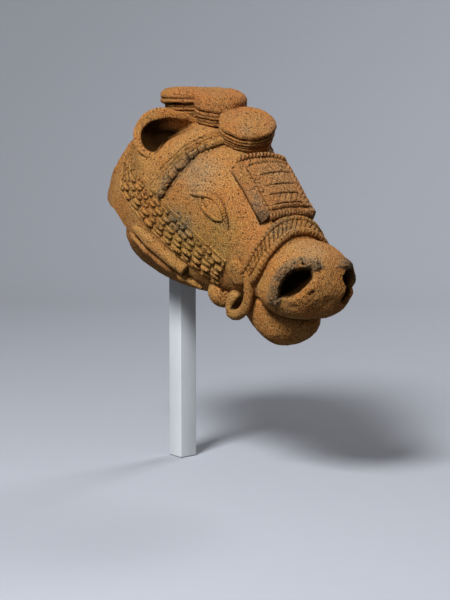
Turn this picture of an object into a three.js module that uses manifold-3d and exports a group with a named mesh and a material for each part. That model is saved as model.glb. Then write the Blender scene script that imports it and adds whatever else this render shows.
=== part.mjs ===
// Hollow terracotta horse head with applied harness, lifted onto a pin in a square display post.
// Millimetres, +Z up, +X where the muzzle points, +Y the horse's left, origin mid-foot of the post.
// The head is modelled in its own frame: x runs down the nose, y to the horse's left, z out of the forehead.
import * as THREE from 'three';
import { mergeVertices } from 'three/addons/utils/BufferGeometryUtils.js';
import Module from 'manifold-3d';

const wasm = await Module();
wasm.setup();

// Clearance between pieces that touch
const GAP = 0.3;

// Head from nape to muzzle; its places, sections and forms below are in 250ths of this length
const HEAD_LENGTH = 250;
const PART = HEAD_LENGTH / 250;
const place = (point) => point.map((value) => value * PART);
const scaled = (sizes) => Object.fromEntries(
  Object.entries(sizes).map(([key, value]) => [key, value * PART]),
);

// Display post, pin and plug
const POST_SIDE = 16;
const POST_HEIGHT = 165;
const PIN_RADIUS = 5;
const PIN_DEPTH_IN_POST = 40;
const PIN_RISE = 80;
const PLUG_RADIUS = 16;
const PLUG_STOCK_LENGTH = 150;

// Place of the head over the post
const HEAD_FORWARD = 97 * PART;
const HEAD_ABOVE_POST = 93 * PART;
const HEAD_TILT = 41;

// Sections of the skull, muzzle and chin: along the nose, then crest, underside, widest height, half width
const SKULL = [
  { along: -110, top: -102, bottom: -126, middle: -114, half: 8 },
  { along: -103, top: -80, bottom: -140, middle: -113, half: 24 },
  { along: -88, top: -46, bottom: -150, middle: -109, half: 39 },
  { along: -58, top: -22, bottom: -156, middle: -96, half: 51 },
  { along: -20, top: -7, bottom: -152, middle: -82, half: 52 },
  { along: 15, top: -3, bottom: -136, middle: -66, half: 47 },
  { along: 50, top: -8, bottom: -110, middle: -52, half: 40 },
  { along: 78, top: -13, bottom: -86, middle: -44, half: 34 },
  { along: 97, top: -15, bottom: -72, middle: -40, half: 31 },
].map(scaled);
const MUZZLE = [
  { along: 83, top: -18, bottom: -52, middle: -36, half: 29 },
  { along: 87, top: -10, bottom: -59, middle: -40, half: 35 },
  { along: 97, top: -6, bottom: -62, middle: -41, half: 38 },
  { along: 112, top: -4, bottom: -61, middle: -39, half: 36.5 },
  { along: 126, top: -9, bottom: -55, middle: -36, half: 29.5 },
  { along: 136, top: -17, bottom: -46, middle: -33, half: 20.5 },
  { along: 140, top: -26, bottom: -40, middle: -33, half: 9 },
].map(scaled);
const CHIN = [
  { along: 72, top: -62, bottom: -86, middle: -72, half: 20 },
  { along: 84, top: -56, bottom: -93, middle: -70, half: 25 },
  { along: 104, top: -54, bottom: -94, middle: -69, half: 26 },
  { along: 122, top: -54, bottom: -90, middle: -67, half: 22 },
  { along: 131, top: -57, bottom: -80, middle: -66, half: 14 },
  { along: 134, top: -62, bottom: -73, middle: -67, half: 6 },
].map(scaled);
const SQUARENESS = 2.4;
const SLOPE_STEP = 0.5;
const SLOPE_TURN = 0.01;
const SKULL_SIDES = 18;
const SKULL_STEPS = 2;
const MUZZLE_SIDES = 18;
const CHIN_SIDES = 14;
const MUZZLE_STEPS = 2;

// Rear edge of the muzzle, further down the nose at the sides than on top
const MUZZLE_EDGE_DROP = 12 * PART;
const MUZZLE_EDGE_FADE = 1.5;

// Hollow of the skull, the break of the neck behind and below it, and the slot over the post
const WALL = 10;
const HOLLOW_REAR = -92 * PART;
const HOLLOW_FRONT = 60 * PART;
const BREAK_FRONT = -38 * PART;
const BREAK_HEIGHT = -118 * PART;
const BREAK_SLOPE = 0.35;
const SLOT_REAR = -60 * PART;
const SLOT_FRONT = 12 * PART;
const SLOT_ROOF = -115 * PART;
const SLOT_HALF = 24 * PART;
const HOLLOW_STEPS = 12;
const HOLLOW_SIDES = 18;

// Nostrils
const NOSTRIL_ALONG = 119 * PART;
const NOSTRIL_OUT = 28.5 * PART;
const NOSTRIL_HEIGHT = -19 * PART;
const NOSTRIL_LONG = 14;
const NOSTRIL_WIDE = 5;
const NOSTRIL_DEEP = 8;
const NOSTRIL_SLANT = 37;

// Cupped ears: the right ear's rim, its root inside the skull, and its wall
const EAR_RIM = [
  [-54, -47, -54],
  [-66, -53, -56],
  [-78, -52, -50],
  [-82, -45, -36],
  [-76, -37, -25],
  [-66, -26, -21],
  [-55, -15, -22],
  [-55, -36, -38],
].map(place);
const EAR_ROOT = place([-70, -25, -55]);
const EAR_WALL = 6;
const EAR_BULGE = 4;
const EAR_START = 0.25;
const EAR_PIT = 0.3;
const EAR_BEYOND = 1.6;
const EAR_NARROWEST = 1;
const EAR_SIDES = 14;
const EAR_STEPS = 4;

// Discs on the crest and the coils stacked under them
const DISC_PLACES = {
  forehead: { along: -21, across: -1, height: 8 },
  crown: { along: -59, across: 0, height: -3 },
  poll: { along: -86, across: 0, height: -22 },
};
const DISC_SIZES = {
  forehead: { radius: 22.5, thick: 6, inset: 3, drop: 2.5, coilRadius: 2.4, coilRing: 20, taper: 1 },
  crown: { radius: 21, thick: 13, inset: 7, drop: 6, coilRadius: 2.6, coilRing: 18, taper: 1.5 },
  poll: { radius: 28, thick: 12, inset: 9, drop: 6, coilRadius: 2.6, coilRing: 22, taper: 1.5 },
};
const DISC_LEANS = {
  forehead: { fore: -15.5, side: -13 },
  crown: { fore: -32, side: -5 },
  poll: { fore: -HEAD_TILT, side: 0 },
};
const DISC_COILS = { forehead: 3, crown: 2, poll: 2 };
const DISCS = Object.keys(DISC_PLACES).map((name) => ({
  name,
  coils: DISC_COILS[name],
  ...DISC_LEANS[name],
  ...scaled(DISC_PLACES[name]),
  ...scaled(DISC_SIZES[name]),
}));
const DISC_STEM = 26 * PART;
const DISC_ROUNDING = 2.5;
const DOME_SHARE = 0.3;
const DISC_SIDES = 18;
const COIL_SIDES = 5;

// Browband: parallel coils over the brow, from the cheek strap up to the forehead disc
const BROW_FRONT = -18 * PART;
const BROW_PITCH = 5.6 * PART;
const BROW_COILS = 3;
const BROW_RADIUS = 3;
const BROW_BOW = 3 * PART;
const BROW_LOW_ANGLE = 74;
const BROW_HIGH_ANGLE = 10;

// Face plate and its cords
const PLATE_REAR = 5 * PART;
const PLATE_FRONT = 57 * PART;
const PLATE_REAR_HALF = 28.5 * PART;
const PLATE_FRONT_HALF = 26 * PART;
const PLATE_PROUD = 7;
const PLATE_CROWN = 5.5 * PART;
const PLATE_ROOT = 16 * PART;
const PLATE_TOP_CORD = 10.5 * PART;
const PLATE_TOP_CORD_RADIUS = 2.4;
const PLATE_BOTTOM_CORD_RADIUS = 3.2;

// Noseband: two cords with a braid between, further down the nose at the sides than on top
const NOSEBAND_UPPER = 65.3 * PART;
const NOSEBAND_UPPER_DROP = 13.5 * PART;
const NOSEBAND_LOWER = 77.3 * PART;
const NOSEBAND_LOWER_DROP = 13 * PART;
const NOSEBAND_UPPER_RADIUS = 2;
const NOSEBAND_LOWER_RADIUS = 2.4;
const NOSEBAND_REACH = 108;
const BRAID_PROUD = 3;

// Cheek strap: rows of pellets from the nape, below the ear, to the corner of the mouth
const STRAP_ROWS = 5;
const STRAP_NAPE = -92 * PART;
const STRAP_NAPE_TOP = -60 * PART;
const STRAP_NAPE_PITCH = 4.8 * PART;
const STRAP_CHEEK = -55 * PART;
const STRAP_FRONT = 62 * PART;
const STRAP_TOP = -68.5 * PART;
const STRAP_RISE = 0.12;
const STRAP_PITCH = 5.2 * PART;
const STRAP_RADIUS = 2.8;

// Throat rolls under the strap
const THROAT_ROLLS = [
  { name: 'upper', run: place([-27, 33]), heights: place([-106.5, -96.5]), radius: 5 * PART },
  { name: 'lower', run: place([-28, 48]), heights: place([-117, -102]), radius: 3.4 * PART },
];

// Bit: tongue of the strap, hanging ring and knob at the corner of the mouth, right side
const TONGUE_ALONG = 74 * PART;
const TONGUE_HEIGHT = -57 * PART;
const TONGUE_LONG = 9.5 * PART;
const TONGUE_THICK = 4.5;
const TONGUE_TALL = 10 * PART;
const RING_PATH = [
  [84, -30.5, -56],
  [91, -30.5, -65],
  [94.5, -30, -75],
  [92, -29, -85],
  [84, -28.5, -88],
  [79.5, -28.5, -82],
  [78, -29, -73],
].map(place);
const RING_RADIUS = 3.6;
const KNOB_PLACE = place([62.5, -23, -93.5]);
const KNOB_LONG = 12 * PART;
const KNOB_WIDE = 11 * PART;
const KNOB_TALL = 10 * PART;

// Eyes: places along the nose and degrees from the crest, alike on both sides
const EYE_ALONG = 27 * PART;
const EYE_ANGLE = 57;
const EYE_LONG = 13 * PART;
const EYE_THICK = 3.2;
const EYE_TALL = 5.5 * PART;
const UPPER_LID = [[3, 57], [11, 53], [17, 50], [23, 49], [28, 50], [32, 52], [38, 56], [43, 60]];
const LOWER_LID = [[12, 55], [16, 58.5], [21, 61.5], [25, 63], [30, 64], [35, 64], [40, 62]];
const UPPER_LID_RADIUS = 1.7;
const LOWER_LID_RADIUS = 1.3;

// Share of a coil's radius by which its centre stands above the clay it is pressed on
const COIL_STAND = 0.35;

// Facets of the cords, rolls and lumps
const CORD_SIDES = 5;
const ROLL_SIDES = 6;
const LID_SIDES = 4;
const BROW_STEPS = 6;
const PLATE_STEPS = 7;
const NOSEBAND_STEPS = 14;
const STRAP_STEPS = 12;
const ROLL_STEPS = 7;
const RING_STEPS = 11;
const LID_STEPS = 8;
const LUMP_AROUND = 10;
const LUMP_ROWS = 6;

const RADIANS = Math.PI / 180;

// Closed solid of a geometry, faces turned outwards
function solid(geometry) {
  const bare = geometry.clone();
  bare.deleteAttribute('normal');
  bare.deleteAttribute('uv');
  const merged = mergeVertices(bare);
  const places = merged.attributes.position;
  const corners = Array.from(merged.index.array);
  const a = new THREE.Vector3();
  const b = new THREE.Vector3();
  const c = new THREE.Vector3();
  const triangles = [];
  let volume = 0;
  for (let i = 0; i < corners.length; i += 3) {
    const [p, q, r] = corners.slice(i, i + 3);
    if (p === q || q === r || r === p) continue;
    triangles.push([p, q, r]);
    volume += a.fromBufferAttribute(places, p).dot(
      b.fromBufferAttribute(places, q).cross(c.fromBufferAttribute(places, r)),
    );
  }
  const ordered = volume < 0 ? triangles.map(([p, q, r]) => [p, r, q]) : triangles;
  return new wasm.Manifold(new wasm.Mesh({
    numProp: 3,
    vertProperties: new Float32Array(places.array),
    triVerts: new Uint32Array(ordered.flat()),
  }));
}

// Geometry of a finished solid
function geometryOf(body) {
  const { vertProperties, triVerts } = body.getMesh();
  const geometry = new THREE.BufferGeometry();
  geometry.setAttribute('position', new THREE.BufferAttribute(new Float32Array(vertProperties), 3));
  geometry.setIndex(new THREE.BufferAttribute(new Uint32Array(triVerts), 1));
  geometry.computeVertexNormals();
  return geometry;
}

// Closed skin through rings of equally many points, with a fan over each end
function loft(rings) {
  const sides = rings[0].length;
  const middleOf = (ring) => ring.reduce((sum, point) => sum.add(point), new THREE.Vector3())
    .divideScalar(sides);
  const points = [...rings.flat(), middleOf(rings[0]), middleOf(rings.at(-1))];
  const firstMiddle = points.length - 2;
  const lastMiddle = points.length - 1;
  const lastRing = (rings.length - 1) * sides;
  const index = [];
  for (let side = 0; side < sides; side += 1) {
    const next = (side + 1) % sides;
    for (let ring = 0; ring < lastRing; ring += sides) {
      index.push(ring + side, ring + next, ring + sides + next);
      index.push(ring + side, ring + sides + next, ring + sides + side);
    }
    index.push(firstMiddle, next, side);
    index.push(lastMiddle, lastRing + side, lastRing + next);
  }
  const geometry = new THREE.BufferGeometry().setFromPoints(points);
  geometry.setIndex(index);
  return geometry;
}

// Smooth value of one measure between stations, passing through each with its neighbours' mean slope
function measure(stations, key, along) {
  const last = stations.length - 1;
  let i = 0;
  while (i < last - 1 && along > stations[i + 1].along) i += 1;
  const slope = (k) => {
    const before = stations[Math.max(k - 1, 0)];
    const after = stations[Math.min(k + 1, last)];
    return (after[key] - before[key]) / (after.along - before.along);
  };
  const from = stations[i];
  const to = stations[i + 1];
  const span = to.along - from.along;
  const t = THREE.MathUtils.clamp((along - from.along) / span, 0, 1);
  const ease = t * t * (3 - 2 * t);
  const leave = t * (1 - t) * (1 - t) * span * slope(i);
  const arrive = t * t * (t - 1) * span * slope(i + 1);
  return from[key] * (1 - ease) + to[key] * ease + leave + arrive;
}

// Point of a section: a superellipse about its widest height, angle 0 at the crest
function sectionPoint(stations, along, angle) {
  const middle = measure(stations, 'middle', along);
  const up = Math.cos(angle);
  const out = Math.sin(angle);
  const end = measure(stations, up >= 0 ? 'top' : 'bottom', along);
  const tall = Math.abs(end - middle);
  const wide = measure(stations, 'half', along);
  const sum = Math.abs(out / wide) ** SQUARENESS + Math.abs(up / tall) ** SQUARENESS;
  const reach = sum ** (-1 / SQUARENESS);
  return new THREE.Vector3(along, reach * out, middle + reach * up);
}

// Outward direction of the clay at a section point
function outward(stations, along, angle) {
  const first = stations[0].along;
  const last = stations.at(-1).along;
  const back = sectionPoint(stations, Math.max(along - SLOPE_STEP, first), angle);
  const ahead = sectionPoint(stations, Math.min(along + SLOPE_STEP, last), angle);
  const right = sectionPoint(stations, along, angle - SLOPE_TURN);
  const left = sectionPoint(stations, along, angle + SLOPE_TURN);
  return ahead.sub(back).cross(left.sub(right)).normalize();
}

// Point lifted off the clay
function skin(stations, along, angle, lift) {
  return sectionPoint(stations, along, angle).addScaledVector(outward(stations, along, angle), lift);
}

// Angle from the crest of the point of the skull's side at a height, horse's left positive
function angleAtHeight(along, height, side) {
  const middle = measure(SKULL, 'middle', along);
  const end = height >= middle ? measure(SKULL, 'top', along) : measure(SKULL, 'bottom', along);
  const share = Math.min(Math.abs((height - middle) / (end - middle)), 1);
  const out = measure(SKULL, 'half', along) * (1 - share ** SQUARENESS) ** (1 / SQUARENESS);
  return side * Math.atan2(out, height - middle);
}

// Angle from the crest of the point of the skull's top at a distance across
function angleAcross(along, across) {
  const middle = measure(SKULL, 'middle', along);
  const share = Math.min(Math.abs(across) / measure(SKULL, 'half', along), 1);
  const up = (measure(SKULL, 'top', along) - middle) * (1 - share ** SQUARENESS) ** (1 / SQUARENESS);
  return Math.atan2(across, up);
}

// Evenly spaced values from one end to the other
function spread(from, to, steps) {
  return Array.from({ length: steps + 1 }, (unused, i) => from + ((to - from) * i) / steps);
}

// Body through the sections of a list of stations, its skin lifted all over
function bodyOf(stations, alongs, sides, lift) {
  const angles = spread(-Math.PI, Math.PI, sides).slice(0, -1);
  return loft(alongs.map((along) => angles.map((angle) => skin(stations, along, angle, lift))));
}

// Values along a list of stations: every station and a number of steps between each two
function stationSteps(stations, between) {
  const inner = stations.slice(1).flatMap((to, i) => spread(stations[i].along, to.along, between).slice(1));
  return [stations[0].along, ...inner];
}

// Round cord along a smooth path
function cord(points, radius, sides, steps) {
  const outline = new THREE.Shape(spread(0, 2 * Math.PI, sides).slice(0, -1).map(
    (turn) => new THREE.Vector2(radius * Math.cos(turn), radius * Math.sin(turn)),
  ));
  const path = new THREE.CatmullRomCurve3(points);
  return new THREE.ExtrudeGeometry(outline, { steps, extrudePath: path, bevelEnabled: false });
}

// Body of revolution about an axis through a point
function turned(profile, centre, axis, sides) {
  const geometry = new THREE.LatheGeometry(profile, sides);
  geometry.applyQuaternion(new THREE.Quaternion().setFromUnitVectors(new THREE.Vector3(0, 1, 0), axis));
  return geometry.translate(centre.x, centre.y, centre.z);
}

// Pressed lump: an ellipsoid lying on the clay, long down the nose, thick outwards, tall across
function lump(stations, along, angle, long, thick, tall) {
  const out = outward(stations, along, angle);
  const across = new THREE.Vector3().crossVectors(out, new THREE.Vector3(1, 0, 0)).normalize();
  const down = new THREE.Vector3().crossVectors(across, out);
  const matrix = new THREE.Matrix4().makeBasis(down, out, across)
    .setPosition(sectionPoint(stations, along, angle));
  return new THREE.SphereGeometry(1, LUMP_AROUND, LUMP_ROWS).scale(long, thick, tall).applyMatrix4(matrix);
}

// Point of the right side carried to the asked side
function onSide([along, across, height], side) {
  return new THREE.Vector3(along, -side * across, height);
}

const HEAD_PLACE = new THREE.Matrix4().makeRotationY(HEAD_TILT * RADIANS)
  .setPosition(HEAD_FORWARD, 0, POST_HEIGHT + HEAD_ABOVE_POST);
const WORLD_IN_HEAD = HEAD_PLACE.clone().invert();
const SIDES = { right: -1, left: 1 };

const COLOURS = {
  post: 0xd9dde0,
  pin: 0xb08d4c,
  plug: 0x9a7448,
  clay: 0xb9783f,
  disc: 0xc08146,
  coil: 0xa86a36,
  ear: 0xc08a4c,
  browband: 0x9c7648,
  plate: 0xa9683c,
  noseband: 0x95805f,
  muzzle: 0xbd7a3f,
  strap: 0xa27444,
  eye: 0xa98350,
};
const POST_ROUGHNESS = 0.25;
const PIN_ROUGHNESS = 0.35;
const PLUG_ROUGHNESS = 0.8;
const CLAY_ROUGHNESS = 0.9;

const horse = new THREE.Group();
const mount = new THREE.Group();
const head = new THREE.Group();
head.applyMatrix4(HEAD_PLACE);
horse.add(mount, head);

function addMesh(group, name, body, colour, roughness, metalness) {
  const material = new THREE.MeshStandardMaterial({ color: colour, roughness, metalness });
  const mesh = new THREE.Mesh(geometryOf(body), material);
  mesh.name = name;
  group.add(mesh);
}

// Largest body of a solid, without the crumbs that a cut leaves
function largest(body) {
  return body.decompose().sort((one, other) => other.volume() - one.volume())[0];
}

// Clay pieces go on one after another: each is cut back from all that lie under it, with the clearance
const laid = [];
function lay(name, make, colour, cuts = []) {
  let body = solid(make(0));
  for (const under of laid) body = body.subtract(under);
  for (const cut of cuts) body = body.subtract(cut);
  laid.push(solid(make(GAP)));
  addMesh(head, name, largest(body), colour, CLAY_ROUGHNESS, 0);
}

// Display post with the blind hole of its pin
function upright(radius, low, high) {
  const profile = [[0, low], [radius, low], [radius, high], [0, high]];
  const points = profile.map(([x, y]) => new THREE.Vector2(x, y));
  return turned(points, new THREE.Vector3(), new THREE.Vector3(0, 0, 1), DISC_SIDES);
}
const PIN_FOOT = POST_HEIGHT - PIN_DEPTH_IN_POST;
const PIN_TOP = POST_HEIGHT + PIN_RISE;
const post = new THREE.BoxGeometry(POST_SIDE, POST_SIDE, POST_HEIGHT).translate(0, 0, POST_HEIGHT / 2);
const postHole = upright(PIN_RADIUS + GAP, PIN_FOOT - GAP, PIN_TOP);
addMesh(mount, 'mount_post', solid(post).subtract(solid(postHole)), COLOURS.post, POST_ROUGHNESS, 0);
addMesh(mount, 'mount_pin', solid(upright(PIN_RADIUS, PIN_FOOT, PIN_TOP)), COLOURS.pin, PIN_ROUGHNESS, 1);

// Skull: outer skin less its hollow, the broken neck and the pits of the ears
function hollow(inset) {
  return bodyOf(SKULL, spread(HOLLOW_REAR, HOLLOW_FRONT, HOLLOW_STEPS), HOLLOW_SIDES, -WALL - inset);
}
const neckBreak = new THREE.BoxGeometry(HEAD_LENGTH, HEAD_LENGTH, HEAD_LENGTH)
  .translate(-HEAD_LENGTH / 2, 0, -HEAD_LENGTH / 2)
  .rotateY(-Math.atan(BREAK_SLOPE))
  .translate(BREAK_FRONT, 0, BREAK_HEIGHT);
const neckSlot = new THREE.BoxGeometry(SLOT_FRONT - SLOT_REAR, 2 * SLOT_HALF, HEAD_LENGTH)
  .translate((SLOT_FRONT + SLOT_REAR) / 2, 0, SLOT_ROOF - HEAD_LENGTH / 2);

// Cup of an ear: a bulging funnel from its root to its rim, or the hollow inside its wall
function earCup(side, inset, start, end) {
  const rimCurve = new THREE.CatmullRomCurve3(EAR_RIM.map((point) => onSide(point, side)), true);
  const rim = rimCurve.getPoints(EAR_SIDES).slice(0, -1);
  const centre = rim.reduce((sum, point) => sum.add(point), new THREE.Vector3()).divideScalar(rim.length);
  const root = onSide(EAR_ROOT, side);
  const depth = centre.clone().sub(root);
  return loft(spread(start, end, EAR_STEPS).map((share) => rim.map((point) => {
    const spoke = point.clone().sub(centre);
    const bulge = EAR_BULGE * Math.sin(Math.PI * Math.min(share, 1));
    const reach = Math.max(spoke.length() * share + bulge - inset, EAR_NARROWEST);
    return root.clone().addScaledVector(depth, share).addScaledVector(spoke.normalize(), reach);
  })));
}
const earHollows = Object.values(SIDES).map((side) => solid(earCup(side, EAR_WALL, EAR_PIT, EAR_BEYOND)));

function skullBody(grow) {
  return bodyOf(SKULL, stationSteps(SKULL, SKULL_STEPS), SKULL_SIDES, grow);
}
const neckCuts = [solid(neckBreak), solid(neckSlot)];
lay('head_shell', skullBody, COLOURS.clay, [solid(hollow(0)), ...neckCuts, ...earHollows]);

// Plug in the hollow, standing on the post's top, with the socket of the pin
const PLUG_FOOT = POST_HEIGHT + GAP;
const plugStock = upright(PLUG_RADIUS, PLUG_FOOT, PLUG_FOOT + PLUG_STOCK_LENGTH).applyMatrix4(WORLD_IN_HEAD);
const plugSocket = upright(PIN_RADIUS + GAP, PIN_FOOT, PIN_TOP + GAP).applyMatrix4(WORLD_IN_HEAD);
const plugRoom = solid(hollow(GAP)).add(solid(neckSlot));
const plug = largest(solid(plugStock).intersect(plugRoom).subtract(solid(plugSocket)));
addMesh(head, 'neck_plug', plug, COLOURS.plug, PLUG_ROUGHNESS, 0);

// Discs of the crest, each with a stem pressed into the skull, and the coils round the stem
function discAxis(disc) {
  return new THREE.Vector3(Math.tan(disc.fore * RADIANS), Math.tan(disc.side * RADIANS), 1).normalize();
}
function discPlace(disc) {
  return new THREE.Vector3(disc.along, disc.across, disc.height);
}
function discBody(disc, grow) {
  const half = disc.thick / 2 + grow;
  const wide = disc.radius + grow;
  const lastRing = disc.coilRing - disc.taper * (disc.coils - 1);
  const stem = lastRing - disc.coilRadius - GAP + grow;
  const profile = [
    [0, -half - DISC_STEM],
    [stem, -half - DISC_STEM],
    [stem, -half],
    [wide - DISC_ROUNDING, -half],
    [wide, -half + DISC_ROUNDING],
    [wide, half - disc.drop],
    [wide - DOME_SHARE * disc.inset, half - DOME_SHARE * disc.drop],
    [wide - disc.inset, half],
    [0, half],
  ].map(([x, y]) => new THREE.Vector2(x, y));
  return turned(profile, discPlace(disc), discAxis(disc), DISC_SIDES);
}
function discCoil(disc, number, grow) {
  const ring = disc.coilRing - disc.taper * (number - 1);
  const drop = disc.thick / 2 + GAP + disc.coilRadius + (number - 1) * (2 * disc.coilRadius + GAP);
  const radius = disc.coilRadius + grow;
  const profile = spread(0, 2 * Math.PI, COIL_SIDES).map(
    (turn) => new THREE.Vector2(ring + radius * Math.cos(turn), radius * Math.sin(turn) - drop),
  );
  profile[COIL_SIDES] = profile[0].clone();
  return turned(profile, discPlace(disc), discAxis(disc), DISC_SIDES);
}
for (const disc of DISCS) lay(`${disc.name}_disc`, (grow) => discBody(disc, grow), COLOURS.disc);
for (const disc of DISCS) {
  for (let number = 1; number <= disc.coils; number += 1) {
    lay(`${disc.name}_coil_${number}`, (grow) => discCoil(disc, number, grow), COLOURS.coil);
  }
}

// Ears
for (const [name, side] of Object.entries(SIDES)) {
  const inside = solid(earCup(side, EAR_WALL, EAR_START, EAR_BEYOND));
  lay(`ear_${name}`, (grow) => earCup(side, -grow, EAR_START, 1), COLOURS.ear, [inside]);
}

// Browband coils, bowed back over the temple
for (const [name, side] of Object.entries(SIDES)) {
  for (let number = 1; number <= BROW_COILS; number += 1) {
    const front = BROW_FRONT - BROW_PITCH * (number - 1);
    const path = spread(0, 1, BROW_STEPS).map((t) => {
      const angle = side * RADIANS * THREE.MathUtils.lerp(BROW_LOW_ANGLE, BROW_HIGH_ANGLE, t);
      return skin(SKULL, front - BROW_BOW * Math.sin(Math.PI * t), angle, BROW_RADIUS * COIL_STAND);
    });
    const make = (grow) => cord(path, BROW_RADIUS + grow, CORD_SIDES, BROW_STEPS);
    lay(`browband_${name}_coil_${number}`, make, COLOURS.browband);
  }
}

// Face plate: a crowned slab, a cord lying across its upper end and one along its lower end
function plateHalf(along) {
  const t = (along - PLATE_REAR) / (PLATE_FRONT - PLATE_REAR);
  return THREE.MathUtils.lerp(PLATE_REAR_HALF, PLATE_FRONT_HALF, t);
}
function plateTop(along, share) {
  return measure(SKULL, 'top', along) + PLATE_PROUD - PLATE_CROWN * share * share;
}
function plateBody(grow) {
  const rings = spread(PLATE_REAR - grow, PLATE_FRONT + grow, PLATE_STEPS).map((along) => {
    const half = plateHalf(along) + grow;
    const low = measure(SKULL, 'top', along) - PLATE_ROOT;
    const upper = spread(-1, 1, PLATE_STEPS).map(
      (share) => new THREE.Vector3(along, half * share, plateTop(along, share) + grow),
    );
    return [new THREE.Vector3(along, -half, low), ...upper, new THREE.Vector3(along, half, low)];
  });
  return loft(rings);
}
lay('face_plate', plateBody, COLOURS.plate);
function topCord(grow) {
  const path = spread(-1, 1, PLATE_STEPS).map((share) => new THREE.Vector3(
    PLATE_TOP_CORD, plateHalf(PLATE_TOP_CORD) * share, plateTop(PLATE_TOP_CORD, share),
  ));
  return cord(path, PLATE_TOP_CORD_RADIUS + grow, CORD_SIDES, PLATE_STEPS);
}
lay('plate_top_cord', topCord, COLOURS.plate);
function bottomCord(grow) {
  const along = PLATE_FRONT + PLATE_BOTTOM_CORD_RADIUS;
  const path = spread(-PLATE_FRONT_HALF, PLATE_FRONT_HALF, PLATE_STEPS).map(
    (across) => skin(SKULL, along, angleAcross(along, across), PLATE_BOTTOM_CORD_RADIUS * COIL_STAND),
  );
  return cord(path, PLATE_BOTTOM_CORD_RADIUS + grow, CORD_SIDES, PLATE_STEPS);
}
lay('plate_bottom_cord', bottomCord, COLOURS.plate);

// Noseband cords and the braid that fills the space between them
function nosebandAngles(grow) {
  const reach = NOSEBAND_REACH * RADIANS + grow / measure(SKULL, 'half', NOSEBAND_LOWER);
  return spread(-reach, reach, NOSEBAND_STEPS);
}
function upperAlong(angle) {
  return NOSEBAND_UPPER + NOSEBAND_UPPER_DROP * Math.sin(angle) ** 2;
}
function lowerAlong(angle) {
  return NOSEBAND_LOWER + NOSEBAND_LOWER_DROP * Math.sin(angle) ** 2;
}
function nosebandCord(alongAt, radius) {
  const pathOf = (grow) => nosebandAngles(grow).map(
    (angle) => skin(SKULL, alongAt(angle), angle, radius * COIL_STAND),
  );
  return (grow) => cord(pathOf(grow), radius + grow, CORD_SIDES, NOSEBAND_STEPS);
}
function braidBody(grow) {
  return loft(nosebandAngles(grow).map((angle) => {
    const rear = upperAlong(angle);
    const front = lowerAlong(angle);
    const lifts = [-BRAID_PROUD, BRAID_PROUD + grow, BRAID_PROUD + grow, -BRAID_PROUD];
    return [rear, rear, front, front].map((along, i) => skin(SKULL, along, angle, lifts[i]));
  }));
}
lay('noseband_upper_cord', nosebandCord(upperAlong, NOSEBAND_UPPER_RADIUS), COLOURS.noseband);
lay('noseband_lower_cord', nosebandCord(lowerAlong, NOSEBAND_LOWER_RADIUS), COLOURS.noseband);
lay('noseband_braid', braidBody, COLOURS.noseband);

// Muzzle with its nostrils, and the chin under it
function nostril(side) {
  const centre = onSide([NOSTRIL_ALONG, -NOSTRIL_OUT, NOSTRIL_HEIGHT], side);
  return new THREE.SphereGeometry(1, LUMP_AROUND, LUMP_ROWS)
    .scale(NOSTRIL_WIDE, NOSTRIL_DEEP, NOSTRIL_LONG)
    .rotateX(side * NOSTRIL_SLANT * RADIANS)
    .translate(centre.x, centre.y, centre.z);
}
const nostrils = Object.values(SIDES).map((side) => solid(nostril(side)));
function muzzleBody(grow) {
  const last = MUZZLE.at(-1).along;
  const angles = spread(-Math.PI, Math.PI, MUZZLE_SIDES).slice(0, -1);
  return loft(stationSteps(MUZZLE, MUZZLE_STEPS).map((along) => {
    const fade = ((last - along) / (last - MUZZLE[0].along)) ** MUZZLE_EDGE_FADE;
    return angles.map((angle) => {
      const point = skin(MUZZLE, along, angle, grow);
      point.x += MUZZLE_EDGE_DROP * fade * Math.sin(angle) ** 2;
      return point;
    });
  }));
}
function chinBody(grow) {
  return bodyOf(CHIN, stationSteps(CHIN, MUZZLE_STEPS), CHIN_SIDES, grow);
}
lay('muzzle', muzzleBody, COLOURS.muzzle, nostrils);
lay('lower_jaw', chinBody, COLOURS.muzzle);

// Row of the cheek strap: drawn together at the nape, then along the cheek to the corner of the mouth
function strapPath(row, side) {
  return spread(STRAP_NAPE, STRAP_FRONT, STRAP_STEPS).map((along) => {
    const nape = STRAP_NAPE_TOP - STRAP_NAPE_PITCH * (row - 1);
    const cheek = STRAP_TOP + STRAP_RISE * along - STRAP_PITCH * (row - 1);
    const share = THREE.MathUtils.smoothstep(along, STRAP_NAPE, STRAP_CHEEK);
    const angle = angleAtHeight(along, THREE.MathUtils.lerp(nape, cheek, share), side);
    return skin(SKULL, along, angle, STRAP_RADIUS * COIL_STAND);
  });
}

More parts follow.
